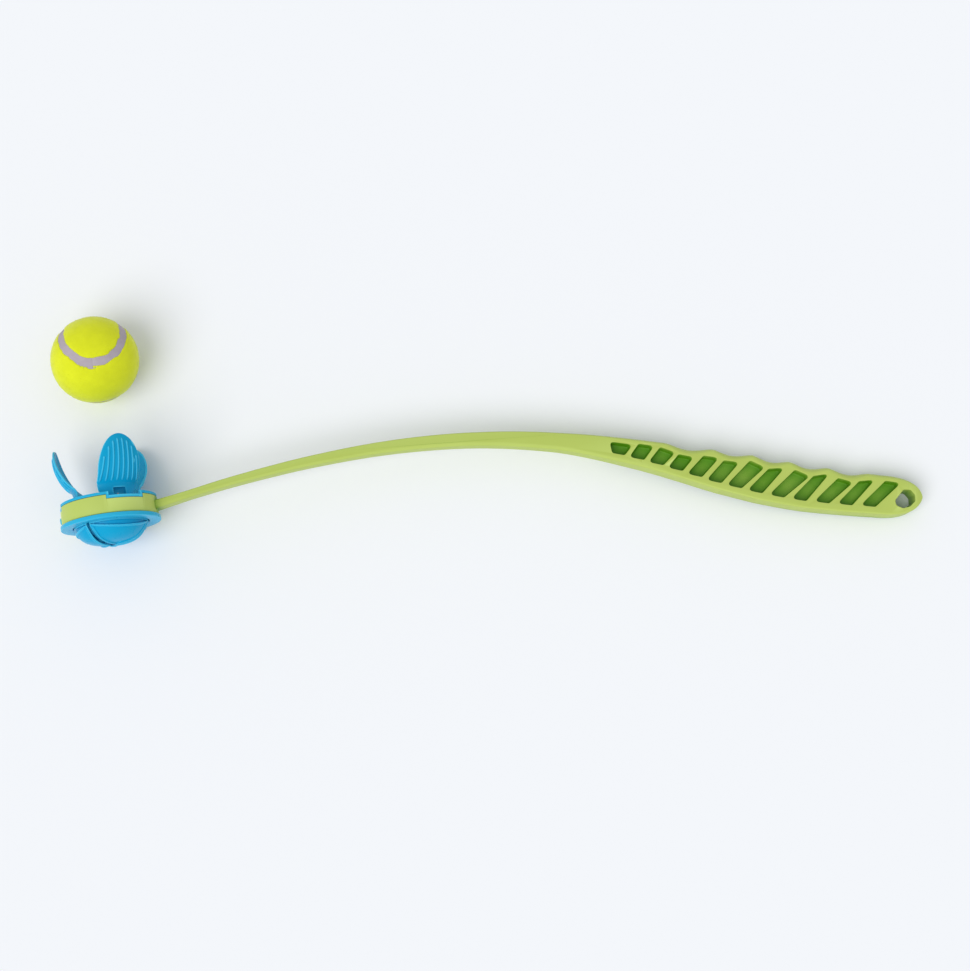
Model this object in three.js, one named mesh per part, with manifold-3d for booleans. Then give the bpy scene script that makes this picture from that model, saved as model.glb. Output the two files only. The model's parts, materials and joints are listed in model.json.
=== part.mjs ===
// Dog ball launcher: a long curved throwing handle whose head ring carries three sprung claws.
// The launcher lies on its side with its ball beside it. Lengths are in millimetres, +Z is up.
// Inside the launcher's own group the ring's axis is Y, with the lip's top face at zero, the claws
// reaching up along +Y, the petals hanging below and the stick leaving along +X.
import * as THREE from "three";
import { ConvexGeometry } from "three/addons/geometries/ConvexGeometry.js";
import { mergeVertices } from "three/addons/utils/BufferGeometryUtils.js";
import Module from "manifold-3d";

const wasm = await Module();
wasm.setup();

// Clearances
const fit = 0.3;
const ballPlay = 1.9;
const seatGap = 1;
const overrun = 2;
const weldDistance = 0.001;

// Ball
const ballDiameter = 64;
const feltThickness = 1.5;
const coreWall = 3;
const seamWidth = 5.6;
const ballBesideRing = 2.4;
const ballBeyondLip = 106;

// Head ring
const bandOuterRadius = 34.2;
const bandWall = 2.6;
const bandHeight = 13;
const bandChamfer = 0.5;
const notchWidth = 27.3;
const notchDepth = 3;
const lipThickness = 2;
const lipWidth = 6.7;
const dipWall = 1.5;
const flangeOverhang = 1.3;
const flangeThickness = 2.9;
const flangeWidth = 8.3;
const sleeveWall = 2;
const studRadius = 2.4;
const studStandOut = 1.2;

// Claws
const clawDegrees = { left_claw: 180, front_claw: 60, rear_claw: -60 };
const clawSwingDegrees = 5;
const clawWall = 1.5;
const clawReach = 41;
const fingerWidth = 30;
const ribCount = 8;
const ribPitch = 3.9;
const ribWidth = 1.4;
const ribHeight = 0.6;
const ribFoot = 9;
const shankTop = 8;
const ribTopMargin = 3.5;
const pinRadius = 1;
const pinDepth = 4;
const pinInset = 10.2;
const hubRadius = 2.9;
const hubWidth = 21;
const recessWidth = 9.2;
const recessRise = 8.4;
const shankThickness = 2.4;
const lugThickness = 3;
const lugBossRadius = 2.5;
const lugDrop = 10;
const petalInset = 0.8;
const petalDrop = 14.7;
const petalSlack = 0.4;

// Springs
const wireDiameter = 0.9;
const curlPitch = 1.4;
const curlTurns = 4;

// Stick and handle
const reach = 585;
const stickSink = 2;
const handleWidth = 33.4;
const handleThickness = 18;
const waveHeight = 2.8;
const crownHeight = 3.9;
const rimDip = 1.4;
const pocketFirstPitch = 15.1;
const pocketLastPitch = 17.1;
const pocketLength = 9.6;
const pocketTopLength = 12.4;
const pocketRim = 1.3;
const pocketFootRim = 5;
const pocketDraft = 1.3;
const pocketCorner = 1.7;
const webThickness = 2.6;
const pocketFirstSlantDegrees = 66;
const pocketLastSlantDegrees = 48;
const holeWidth = 15.5;
const holeHeight = 13.5;

// Turned to the way it lies
const yawDegrees = 9.3;
const ballTurnDegrees = [51.4, 13.6, 42.4];

// How finely round shapes are cut
const ringSides = 36;
const sphereRows = 5;
const ballDetail = 3;
const seamSteps = 40;

// Places that follow from the sizes above
const turn = THREE.MathUtils.degToRad;
const ballRadius = ballDiameter / 2;
const lipInnerRadius = bandOuterRadius - lipWidth;
const flangeRadius = bandOuterRadius + flangeOverhang;
const flangeInnerRadius = flangeRadius - flangeWidth;
const petalRadius = flangeInnerRadius - petalInset;
const pinRingRadius = bandOuterRadius - pinInset;
const bandTop = -lipThickness - fit;
const bandBottom = bandTop - bandHeight;
const flangeTop = bandBottom - fit;
const flangeBottom = flangeTop - flangeThickness;
const sleeveOuterRadius = bandOuterRadius - bandWall - fit;
const sleeveInnerRadius = sleeveOuterRadius - sleeveWall;
const dipFloor = -notchDepth;
const dipUnderside = dipFloor - lipThickness;
const sleeveTop = dipUnderside - fit;
const cupCentre = ballRadius + seatGap;
const cupRadius = ballRadius + ballPlay;
const pinHalf = hubWidth / 2 + lugThickness;
const boreRadius = pinRadius + fit;

const colours = {
  green: { color: 0xb8cf62, roughness: 0.45, metalness: 0 },
  blue: { color: 0x00a0d2, roughness: 0.32, metalness: 0 },
  steel: { color: 0xb9bcc0, roughness: 0.3, metalness: 1 },
  rubber: { color: 0x55504e, roughness: 0.8, metalness: 0 },
  felt: { color: 0xdae61e, roughness: 0.95, metalness: 0 },
  seam: { color: 0xb6acb2, roughness: 0.9, metalness: 0 },
};

// A closed geometry as a solid that can be joined and cut
function solidOf(geometry) {
  const bare = geometry.index ? geometry.toNonIndexed() : geometry.clone();
  bare.deleteAttribute("normal");
  bare.deleteAttribute("uv");
  const welded = mergeVertices(bare, weldDistance);
  return new wasm.Manifold(
    new wasm.Mesh({
      numProp: 3,
      vertProperties: welded.attributes.position.array,
      triVerts: new Uint32Array(welded.index.array),
    }),
  );
}

// A solid back as a geometry
function geometryOf(solid) {
  const mesh = solid.getMesh();
  const geometry = new THREE.BufferGeometry();
  const places = new Float32Array(mesh.numVert * 3);
  for (let i = 0; i < mesh.numVert; i++) {
    const first = i * mesh.numProp;
    places.set(mesh.vertProperties.subarray(first, first + 3), i * 3);
  }
  geometry.setAttribute("position", new THREE.BufferAttribute(places, 3));
  geometry.setIndex(new THREE.BufferAttribute(mesh.triVerts, 1));
  const flat = geometry.toNonIndexed();
  flat.computeVertexNormals();
  return flat;
}

function namedMesh(name, solid, colour) {
  const mesh = new THREE.Mesh(geometryOf(solid), new THREE.MeshStandardMaterial(colours[colour]));
  mesh.name = name;
  return mesh;
}

// A profile of [radius, height] points, closed on itself, turned about Y
function turned(profile, sides = ringSides) {
  const points = profile.map(([radius, height]) => new THREE.Vector2(radius, height));
  const loop = THREE.ShapeUtils.area(points) > 0 ? points : points.reverse();
  return new THREE.LatheGeometry([...loop, loop[0]], sides);
}

// A block given by its lowest and highest corners
function block(low, high) {
  const size = high.map((value, axis) => value - low[axis]);
  const middle = high.map((value, axis) => (value + low[axis]) / 2);
  return new THREE.BoxGeometry(...size).translate(...middle);
}

// A block across one claw's place: out from the axis, up, and as wide as asked
function clawBlock(inner, outer, bottom, top, width) {
  return block([inner, bottom, -width / 2], [outer, top, width / 2]);
}

// The same geometry turned to a claw's place on the ring
function atClaw(geometry, degrees) {
  return geometry.clone().rotateY(-turn(degrees));
}

// A round bar along the claw's pin
function pinBar(radius, halfLength, sides) {
  return new THREE.CylinderGeometry(radius, radius, 2 * halfLength, sides)
    .rotateX(Math.PI / 2)
    .translate(pinRingRadius, -pinDepth, 0);
}

// Rings of points joined one to the next, with closed ends or running round in a loop
function loft(rings, looped = false) {
  const sides = rings[0].length;
  const places = rings.flat();
  const faces = [];
  const spans = looped ? rings.length : rings.length - 1;
  for (let span = 0; span < spans; span++) {
    const here = span * sides;
    const there = ((span + 1) % rings.length) * sides;
    for (let side = 0; side < sides; side++) {
      const next = (side + 1) % sides;
      faces.push(here + side, there + next, there + side);
      faces.push(here + side, here + next, there + next);
    }
  }
  if (!looped) {
    const last = (rings.length - 1) * sides;
    for (let side = 1; side < sides - 1; side++) {
      faces.push(0, side + 1, side);
      faces.push(last, last + side, last + side + 1);
    }
  }
  return new THREE.BufferGeometry().setFromPoints(places).setIndex(faces);
}

// Values between the rows of a table, by its first column
function between(table, share, column) {
  const row = table.findIndex((entry) => entry[0] >= share);
  if (row < 0) return table[table.length - 1][column];
  if (row === 0) return table[0][column];
  const [before, after] = [table[row - 1], table[row]];
  const part = (share - before[0]) / (after[0] - before[0]);
  return THREE.MathUtils.lerp(before[column], after[column], part);
}

// The centre line from the band's middle to the handle's end, as shares of the length between them
const centreLineShares = [
  [0, 0],
  [0.113, 0.0172],
  [0.222, 0.0275],
  [0.327, 0.0297],
  [0.433, 0.0217],
  [0.538, 0.0018],
  [0.64, -0.03],
  [0.742, -0.0689],
  [0.843, -0.1057],
  [0.947, -0.1345],
  [1, -0.146],
];
const stickRoot = new THREE.Vector3(bandOuterRadius - stickSink, (bandTop + bandBottom) / 2, 0);
const stickSpan = reach - stickRoot.x;
const centreLine = new THREE.CatmullRomCurve3(
  centreLineShares.map(([x, y]) => new THREE.Vector3(x, y, 0).multiplyScalar(stickSpan).add(stickRoot)),
  false,
  "centripetal",
);
const lineLength = centreLine.getLength();

// The line's own frame at a place along it: its point, along and across
function handleFrame(share) {
  const middle = centreLine.getPointAt(share);
  const along = centreLine.getTangentAt(share);
  return { middle, along, across: new THREE.Vector3(-along.y, along.x, 0) };
}

// Place along the line, then width, thickness, lower corners and crown as shares of the handle's
const sectionShares = [
  [0, 0.215, 0.8, 0.3, 0.5],
  [0.04, 0.178, 0.76, 0.3, 0.4],
  [0.2, 0.235, 0.76, 0.3, 0.4],
  [0.42, 0.319, 0.8, 0.26, 0.45],
  [0.53, 0.401, 0.86, 0.2, 0.5],
  [0.585, 0.513, 0.93, 0.15, 0.6],
  [0.635, 0.622, 0.98, 0.11, 0.8],
  [0.69, 0.762, 1, 0.08, 1],
  [0.74, 0.915, 1, 0.07, 1],
  [0.79, 0.995, 1, 0.07, 1],
  [0.85, 1, 1, 0.07, 1],
  [0.945, 0.903, 1, 0.07, 1],
  [0.968, 0.823, 1, 0.08, 0.9],
  [0.982, 0.69, 0.99, 0.12, 0.8],
  [0.993, 0.46, 0.95, 0.2, 0.7],
  [1, 0.2, 0.86, 0.3, 0.6],
];
const handleStartShare = 0.6;
const endStartShare = 0.95;

// Places of the finger crests along the line, with a smooth hump from the last on
const crestShares = [0.66, 0.722, 0.774, 0.824, 0.876, 0.93];

// How deep between two finger crests a place along the line is, from 0 to 1
function dipAt(share) {
  const next = crestShares.findIndex((crest) => crest > share);
  if (next < 1) return 0;
  const part = (share - crestShares[next - 1]) / (crestShares[next] - crestShares[next - 1]);
  return 0.5 - 0.5 * Math.cos(2 * Math.PI * part);
}

// The section's sizes at a place along the line, with its upper edge and that edge's rim
function sizesAt(share) {
  const width = between(sectionShares, share, 1) * handleWidth;
  const thickness = between(sectionShares, share, 2) * handleThickness;
  const corner = between(sectionShares, share, 3) * Math.min(width, thickness);
  const crown = between(sectionShares, share, 4) * crownHeight + dipAt(share) * rimDip;
  const edge = width / 2 - dipAt(share) * waveHeight;
  return { foot: -width / 2, thickness, corner, crown, rim: edge - crown };
}

const crownSteps = 6;

// One cross-section of the stick or handle as a ring of points: a round crown over a square foot
function sectionAt(share) {
  const { middle, across } = handleFrame(share);
  const { foot, thickness, corner, crown, rim } = sizesAt(share);
  const outline = [];
  for (let step = 0; step <= crownSteps; step++) {
    const angle = (step / crownSteps) * Math.PI;
    outline.push([rim + crown * Math.sin(angle), (-thickness / 2) * Math.cos(angle)]);
  }
  for (const face of [1, -1]) {
    for (let step = 0; step <= 2; step++) {
      const angle = Math.PI * (face > 0 ? 0.5 : 1) + (face * step * Math.PI) / 4;
      const [w, t] = [Math.abs(Math.cos(angle)), Math.abs(Math.sin(angle))];
      outline.push([foot + corner * (1 - w), face * (thickness / 2 - corner * (1 - t))]);
    }
  }
  return outline.map(([w, t]) => middle.clone().addScaledVector(across, w).setZ(t));
}

function stickAndHandle() {
  const stickSteps = 11;
  const handleSteps = 36;
  const endSteps = 5;
  const shares = [];
  for (let i = 0; i < stickSteps; i++) shares.push((i / stickSteps) * handleStartShare);
  for (let i = 0; i < handleSteps; i++)
    shares.push(THREE.MathUtils.lerp(handleStartShare, endStartShare, i / handleSteps));
  for (let i = 0; i <= endSteps; i++)
    shares.push(THREE.MathUtils.lerp(endStartShare, 1, Math.sin((i / endSteps) * (Math.PI / 2))));
  return loft(shares.map(sectionAt));
}

// The most of a side that a corner's rounding may take
const cornerShare = 0.45;

// An outline of straight sides with its corners rounded to a radius, as points
function roundedOutline(corners, radius, steps) {
  const points = [];
  corners.forEach((corner, i) => {
    const before = corners[(i + corners.length - 1) % corners.length];
    const after = corners[(i + 1) % corners.length];
    const back = before.clone().sub(corner);
    const on = after.clone().sub(corner);
    const reachBack = radius / Math.tan(Math.abs(back.angleTo(on)) / 2);
    const cut = Math.min(reachBack, cornerShare * back.length(), cornerShare * on.length());
    const from = corner.clone().addScaledVector(back.normalize(), cut);
    const to = corner.clone().addScaledVector(on.normalize(), cut);
    const bend = new THREE.QuadraticBezierCurve(from, corner, to);
    points.push(...bend.getPoints(steps));
  });
  return points;
}

// The pockets fill the line from the first one's place to short of the hanging hole
const pocketFirstShare = 0.605;
const pocketEndShare = 0.955;
const pocketPitch = (pocketFirstPitch + pocketLastPitch) / 2;
const pocketCount = 1 + Math.floor(((pocketEndShare - pocketFirstShare) * lineLength) / pocketPitch);

// The first pocket's blunt end: how far back its foot and its top reach, as shares of its length
const bluntFootShare = -0.5;
const bluntTopShare = -0.86;

// One slanted pocket of the handle, cut from one face and narrowing to its floor
function pocketCutter(index, face) {
  const part = index / (pocketCount - 1);
  const pitch = THREE.MathUtils.lerp(pocketFirstPitch, pocketPitch, part);
  const share = pocketFirstShare + (index * pitch) / lineLength;
  const { middle, along, across } = handleFrame(share);
  const mouth = handleThickness / 2 + overrun;
  const slant = THREE.MathUtils.lerp(pocketFirstSlantDegrees, pocketLastSlantDegrees, part);
  const slope = 1 / Math.tan(turn(slant));
  const half = pocketLength / 2;
  const topAt = (offset) => sizesAt(share + offset / lineLength).rim - pocketRim;
  const foot = sizesAt(share).foot + pocketFootRim;
  const lean = topAt(0) * slope;
  const sides = { footLeft: -half + foot * slope, footRight: half + foot * slope };
  const tops = { left: -half + lean, right: -half + lean + pocketTopLength };
  if (index === 0) {
    sides.footLeft = bluntFootShare * pocketLength;
    tops.left = bluntTopShare * pocketLength;
  }
  const corners = [
    new THREE.Vector2(sides.footLeft, foot),
    new THREE.Vector2(sides.footRight, foot),
    new THREE.Vector2(tops.right, topAt(tops.right)),
    new THREE.Vector2(tops.left, topAt(tops.left)),
  ];
  const outline = roundedOutline(corners, pocketCorner, 2);
  const centre = corners.reduce((sum, corner) => sum.add(corner), new THREE.Vector2()).divideScalar(corners.length);
  const outlineAt = (inset, height) =>
    outline.map((point) => {
      const out = point.clone().sub(centre);
      const place = point.clone().addScaledVector(out.normalize(), -inset);
      return middle
        .clone()
        .addScaledVector(along, place.x)
        .addScaledVector(across, place.y)
        .setZ(face * height);
    });
  return new ConvexGeometry([...outlineAt(0, mouth), ...outlineAt(pocketDraft, webThickness / 2)]);
}

// The hanging hole's outline: a rounded D whose flat side follows the ribs
const holeShares = [
  [-0.5, -0.02],
  [0.02, 0.5],
  [0.34, 0.42],
  [0.5, 0.1],
  [0.46, -0.22],
  [0.16, -0.47],
  [-0.2, -0.5],
  [-0.48, -0.3],
];
const holePlaceShare = 0.977;
const holeDropShare = 0.07;

function holeCutter() {
  const { middle, across } = handleFrame(holePlaceShare);
  const centre = middle.clone().addScaledVector(across, -holeDropShare * handleWidth);
  const corners = holeShares.map(
    ([x, y]) => new THREE.Vector2(centre.x + x * holeWidth, centre.y + y * holeHeight),
  );
  const depth = handleThickness + 2 * overrun;
  const shape = new THREE.Shape(roundedOutline(corners, pocketCorner, 2));
  return new THREE.ExtrudeGeometry(shape, { depth, bevelEnabled: false }).translate(0, 0, -depth / 2);
}

// The green moulding: ring, stick and handle in one piece
function launcherBody() {
  const inner = bandOuterRadius - bandWall;
  const band = turned([
    [inner, bandBottom],
    [bandOuterRadius - bandChamfer, bandBottom],
    [bandOuterRadius, bandBottom + bandChamfer],
    [bandOuterRadius, bandTop - bandChamfer],
    [bandOuterRadius - bandChamfer, bandTop],
    [inner, bandTop],
  ]);
  let body = solidOf(stickAndHandle()).add(solidOf(band));
  const reachOut = bandOuterRadius + overrun;
  for (const degrees of Object.values(clawDegrees)) {
    const notch = clawBlock(0, reachOut, bandTop - notchDepth, bandTop + overrun, notchWidth);
    body = body.subtract(solidOf(atClaw(notch, degrees)));
  }
  const studHole = new THREE.CylinderGeometry(studRadius + fit, studRadius + fit, reachOut, 16)
    .rotateZ(Math.PI / 2)
    .translate(-reachOut / 2, (bandTop + bandBottom - notchDepth) / 2, 0);
  body = body.subtract(solidOf(studHole));
  for (let index = 0; index < pocketCount; index++)
    for (const face of [1, -1]) body = body.subtract(solidOf(pocketCutter(index, face)));
  return body.subtract(solidOf(holeCutter()));
}

// The blue stud that locks the sleeve into the band
function lockingStud() {
  const inner = sleeveOuterRadius + fit;
  const outer = bandOuterRadius + studStandOut;
  return new THREE.CylinderGeometry(studRadius, studRadius, outer - inner, 16)
    .rotateZ(Math.PI / 2)
    .translate(-(outer + inner) / 2, (bandTop + bandBottom - notchDepth) / 2, 0);
}

// Where the lug's round boss starts and ends
const lugArcDegrees = [15, 270];

// The lug that holds one end of a claw's pin, drawn in the plane across the pin
function lugOutline() {
  const shape = new THREE.Shape();
  const [x, y] = [pinRingRadius, -pinDepth];
  const wall = sleeveInnerRadius + sleeveWall / 2;
  shape.absarc(x, y, lugBossRadius, ...lugArcDegrees.map(turn), false);
  shape.lineTo(wall, y - lugDrop);
  shape.lineTo(wall, sleeveTop);
  shape.lineTo(lipInnerRadius - fit, sleeveTop);
  return shape;
}

// The blue sleeve inside the band, with the lower flange and the claws' lugs
function clawCarrier() {
  const rim = bandChamfer;
  const shell = turned([
    [flangeInnerRadius, flangeBottom],
    [flangeRadius - rim, flangeBottom],
    [flangeRadius, flangeBottom + rim],
    [flangeRadius, flangeTop - rim],
    [flangeRadius - rim, flangeTop],
    [sleeveOuterRadius, flangeTop],
    [sleeveOuterRadius, sleeveTop],
    [sleeveInnerRadius, sleeveTop],
    [sleeveInnerRadius, flangeTop],
    [flangeInnerRadius, flangeTop],
  ]);
  const limit = sleeveInnerRadius + sleeveWall / 2;
  const inside = solidOf(
    new THREE.CylinderGeometry(limit, limit, 2 * (pinDepth + lugDrop), ringSides),
  );
  let carrier = solidOf(shell);
  for (const degrees of Object.values(clawDegrees)) {
    const bore = solidOf(atClaw(pinBar(boreRadius, pinHalf + overrun, 12), degrees));
    for (const side of [hubWidth / 2 + fit, -hubWidth / 2 - fit - lugThickness]) {
      const lug = new THREE.ExtrudeGeometry(lugOutline(), {
        depth: lugThickness,
        bevelEnabled: false,
        curveSegments: 5,
      }).translate(0, 0, side);
      const cut = solidOf(atClaw(lug, degrees)).intersect(inside).subtract(bore);
      carrier = carrier.add(cut);
    }
  }
  return carrier;
}

// The blue lip on top of the band, which dips into its notches
function topRetainer() {
  const plate = solidOf(
    turned([
      [lipInnerRadius, -lipThickness],
      [bandOuterRadius, -lipThickness],
      [bandOuterRadius, 0],
      [lipInnerRadius, 0],
    ]),
  );
  const skirt = solidOf(
    turned([
      [sleeveInnerRadius, dipUnderside],
      [sleeveOuterRadius, dipUnderside],
      [sleeveOuterRadius, -lipThickness / 2],
      [sleeveInnerRadius, -lipThickness / 2],
    ]),
  );
  const deep = solidOf(
    turned([
      [lipInnerRadius, dipUnderside],
      [bandOuterRadius, dipUnderside],
      [bandOuterRadius, 0],
      [lipInnerRadius, 0],
    ]),
  );
  const dipWidth = notchWidth - 2 * fit;
  const far = bandOuterRadius + overrun;
  let retainer = plate.add(skirt);
  for (const degrees of Object.values(clawDegrees)) {
    const dip = solidOf(atClaw(clawBlock(0, far, dipUnderside - overrun, overrun, dipWidth), degrees));
    const hollow = clawBlock(0, far, dipFloor, overrun, dipWidth - 2 * dipWall);
    retainer = retainer.add(deep.intersect(dip)).subtract(solidOf(atClaw(hollow, degrees)));
    const clear = 2 * (pinHalf + 2 * fit);
    const lugRoom = clawBlock(0, lipInnerRadius + fit, dipUnderside - overrun, overrun, clear);
    retainer = retainer.subtract(solidOf(atClaw(lugRoom, degrees)));
  }
  return retainer;
}

// A chain of [radius, height] points down the ball's cup, a little outside it, tip first
function cupChain(offset) {
  const radius = cupRadius + offset;
  const foot = Math.asin((shankTop - cupCentre) / cupRadius);
  const tip = Math.asin((clawReach + overrun - cupCentre) / cupRadius);
  const points = [];
  for (let row = 0; row <= sphereRows; row++) {
    const angle = THREE.MathUtils.lerp(tip, foot, row / sphereRows);
    points.push([radius * Math.cos(angle), cupCentre + radius * Math.sin(angle)]);
  }
  return points;
}

// The petals' dome: how flat its shoulder is, and how near to the axis it closes
const domeShoulderShare = 0.75;
const domeCloseShare = 0.97;

function domeChain(inset) {
  const points = [];
  for (let row = 0; row <= sphereRows; row++) {
    const angle = ((row / sphereRows) * domeCloseShare * Math.PI) / 2;
    const radius = (petalRadius - inset) * Math.cos(angle) ** domeShoulderShare;
    points.push([radius, flangeBottom - (petalDrop - inset) * Math.sin(angle)]);
  }
  return points;
}

// The whole wall of finger and petal, turned about the ring's axis
function clawShell() {
  const shankOuter = pinRingRadius + shankThickness / 2;
  const shankInner = shankOuter - shankThickness;
  const outer = [...cupChain(clawWall), [shankOuter, -pinDepth], ...domeChain(0)];
  const inner = [...cupChain(0), [shankInner, -pinDepth], ...domeChain(clawWall)];
  return lobed(turned([...outer, ...inner.reverse()]));
}

const lobeShare = 0.12;
const halfSector = turn(60);

// Draws the dome in between the petals' middles, so that each petal is a lobe of its own
function lobed(geometry) {
  const places = geometry.attributes.position;
  const point = new THREE.Vector3();
  for (let i = 0; i < places.count; i++) {
    point.fromBufferAttribute(places, i);
    const depth = THREE.MathUtils.clamp((flangeBottom - point.y) / petalDrop, 0, 1);
    const around = Math.abs(Math.atan2(point.z, point.x)) / halfSector;
    const draw = 1 - lobeShare * Math.min(around, 1) ** 2 * Math.min(2 * depth, 1);
    places.setXYZ(i, point.x * draw, point.y, point.z * draw);
  }
  return geometry;
}

// Half widths and heights of the finger's outline, as shares of its width and reach
const fingerShares = [
  [0.93, 0.03],
  [0.97, 0.2],
  [1, 0.45],
  [0.97, 0.68],
  [0.83, 0.86],
  [0.48, 0.975],
  [0, 1],
];

function fingerOutline() {
  const half = fingerWidth / 2;
  const right = fingerShares.map(([w, h]) => new THREE.Vector2(w * half, h * clawReach));
  const left = right
    .slice(0, -1)
    .reverse()
    .map((point) => new THREE.Vector2(-point.x, point.y));
  const shape = new THREE.Shape();
  const foot = -pinDepth - hubRadius - overrun;
  shape.moveTo(-hubWidth / 2, foot);
  shape.lineTo(hubWidth / 2, foot);
  shape.lineTo(hubWidth / 2, right[0].y);
  shape.lineTo(right[0].x, right[0].y);
  shape.splineThru([...right.slice(1), ...left]);
  shape.lineTo(-hubWidth / 2, right[0].y);
  return shape;
}

// A flat outline in the plane facing a claw, made deep enough to cut the whole wall
function facing(shape, steps) {
  const depth = cupRadius + clawWall + ribHeight + overrun;
  const options = { depth, bevelEnabled: false, curveSegments: steps };
  return new THREE.ExtrudeGeometry(shape, options).rotateY(Math.PI / 2);
}

// How the ribs' tops follow the finger's round tip, and how far they lean in towards it
const ribRoundShare = 0.62;
const ribLeanShare = 0.86;

// The eight ribs of a finger as upright strips that lean in a little towards the tip
function ribOutlines() {
  const shapes = [];
  for (let index = 0; index < ribCount; index++) {
    const place = (index - (ribCount - 1) / 2) * ribPitch;
    const side = (2 * Math.abs(place)) / fingerWidth;
    const top = clawReach * Math.sqrt(1 - ribRoundShare * side ** 2) - ribTopMargin;
    const lean = ribLeanShare * place;
    const half = ribWidth / 2;
    shapes.push(
      new THREE.Shape([
        new THREE.Vector2(place - half, ribFoot),
        new THREE.Vector2(place + half, ribFoot),
        new THREE.Vector2(lean + half, top),
        new THREE.Vector2(lean - half, top),
      ]),
    );
  }
  return shapes;
}

// The room one petal may fill, set back so that no two petals meet when all claws swing
function petalRoom() {
  const far = petalRadius + overrun;
  const level = (height) => {
    const swing = turn(clawSwingDegrees) * (-pinDepth - height);
    const back = petalSlack + Math.sin(halfSector) * swing;
    const apex = back / Math.sin(halfSector);
    const arm = 2 * far;
    return [
      new THREE.Vector3(apex, height, 0),
      new THREE.Vector3(apex + arm * Math.cos(halfSector), height, arm * Math.sin(halfSector)),
      new THREE.Vector3(apex + arm * Math.cos(halfSector), height, -arm * Math.sin(halfSector)),
    ];
  };
  const top = -pinDepth - hubRadius - overrun / 2;
  return new ConvexGeometry([...level(top), ...level(flangeBottom - petalDrop - overrun)]);
}

// One claw: ribbed finger above, hinge barrel and spring recess at the ring, petal below
function claw() {
  const room = solidOf(facing(fingerOutline(), 4)).add(solidOf(petalRoom()));
  const wall = solidOf(clawShell()).intersect(room);
  const ribLayer = turned([...cupChain(clawWall + ribHeight), ...cupChain(clawWall / 2).reverse()]);
  const ribs = solidOf(ribLayer).intersect(solidOf(facing(ribOutlines(), 1)));
  const barrel = solidOf(pinBar(hubRadius, hubWidth / 2, 16));
  const recessFoot = -pinDepth - hubRadius - fit;
  const recessReach = 3 * hubRadius;
  const recess = clawBlock(
    pinRingRadius - recessReach,
    pinRingRadius + recessReach,
    recessFoot,
    -pinDepth + recessRise,
    recessWidth,
  );
  const bore = pinBar(boreRadius, hubWidth, 12);
  return wall.add(ribs).add(barrel).subtract(solidOf(recess)).subtract(solidOf(bore));
}

const curlSides = 8;

// The spring's wire: a leg on the lip's dip, the curls round the pin, and a leg up to the finger
function springPath() {
  const radius = boreRadius + wireDiameter / 2 + fit / 2;
  const [x, y] = [pinRingRadius, -pinDepth];
  const width = curlPitch * curlTurns;
  const turns = curlTurns - 0.25;
  const points = [
    new THREE.Vector3(x + radius + 3 * wireDiameter, y + radius, -width / 2),
    new THREE.Vector3(x + radius, y + radius, -width / 2),
  ];
  const steps = Math.round(curlSides * turns);
  for (let step = 0; step <= steps; step++) {
    const angle = Math.PI / 2 + (2 * Math.PI * turns * step) / steps;
    const along = -width / 2 + (curlPitch * turns * step) / steps;
    points.push(new THREE.Vector3(x + radius * Math.cos(angle), y + radius * Math.sin(angle), along));
  }
  const last = points[points.length - 1];
  points.push(new THREE.Vector3(last.x, y + recessRise - 2 * fit, last.z));
  return points;
}

// A round wire along a list of points
function wire(points, diameter, sides) {
  const rings = [];
  let side = new THREE.Vector3(0, 1, 0);
  points.forEach((point, i) => {
    const before = points[Math.max(i - 1, 0)];
    const after = points[Math.min(i + 1, points.length - 1)];
    const along = after.clone().sub(before).normalize();
    side = side.clone().addScaledVector(along, -side.dot(along)).normalize();
    const other = along.clone().cross(side);
    const ring = [];
    for (let k = 0; k < sides; k++) {
      const angle = (2 * Math.PI * k) / sides;
      const place = point.clone().addScaledVector(side, (diameter / 2) * Math.cos(angle));
      ring.push(place.addScaledVector(other, (diameter / 2) * Math.sin(angle)));
    }
    rings.push(ring);
  });
  return loft(rings);
}

// The smallest gap between turns of a wire, measured on its points
function leastGap(points, diameter) {
  let least = Infinity;
  points.forEach((one, i) => {
    points.slice(i + curlSides - 2).forEach((other) => {
      least = Math.min(least, one.distanceTo(other) - diameter);
    });
  });
  return least;
}

// The line where a ball's two felts meet, on a sphere of the given radius
function seamPoint(angle, radius) {
  const [wide, tight] = [0.75, 0.25];
  return new THREE.Vector3(
    wide * Math.cos(angle) + tight * Math.cos(3 * angle),
    wide * Math.sin(angle) - tight * Math.sin(3 * angle),
    2 * Math.sqrt(wide * tight) * Math.sin(2 * angle),
  ).multiplyScalar(radius);
}

// A band that follows the seam through the felt, as wide as asked
function seamBand(width) {
  const rings = [];
  const nearby = 0.01;
  for (let i = 0; i < seamSteps; i++) {
    const angle = (2 * Math.PI * i) / seamSteps;
    const out = seamPoint(angle, 1).normalize();
    const along = seamPoint(angle + nearby, 1).sub(seamPoint(angle - nearby, 1)).normalize();
    const across = out.clone().cross(along);
    const ring = [];
    for (const [side, level] of [
      [-1, ballRadius - feltThickness - overrun / 2],
      [1, ballRadius - feltThickness - overrun / 2],
      [1, ballRadius + overrun],
      [-1, ballRadius + overrun],
    ]) {
      const place = out.clone().multiplyScalar(level);
      ring.push(place.addScaledVector(across, (side * width) / 2));
    }
    rings.push(ring);
  }
  return solidOf(loft(rings, true));
}

// A hollow sphere with a thin layer's thickness
function layer(outer, inner) {
  const outside = solidOf(new THREE.IcosahedronGeometry(outer, ballDetail));
  return outside.subtract(solidOf(new THREE.IcosahedronGeometry(inner, ballDetail)));
}

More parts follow.
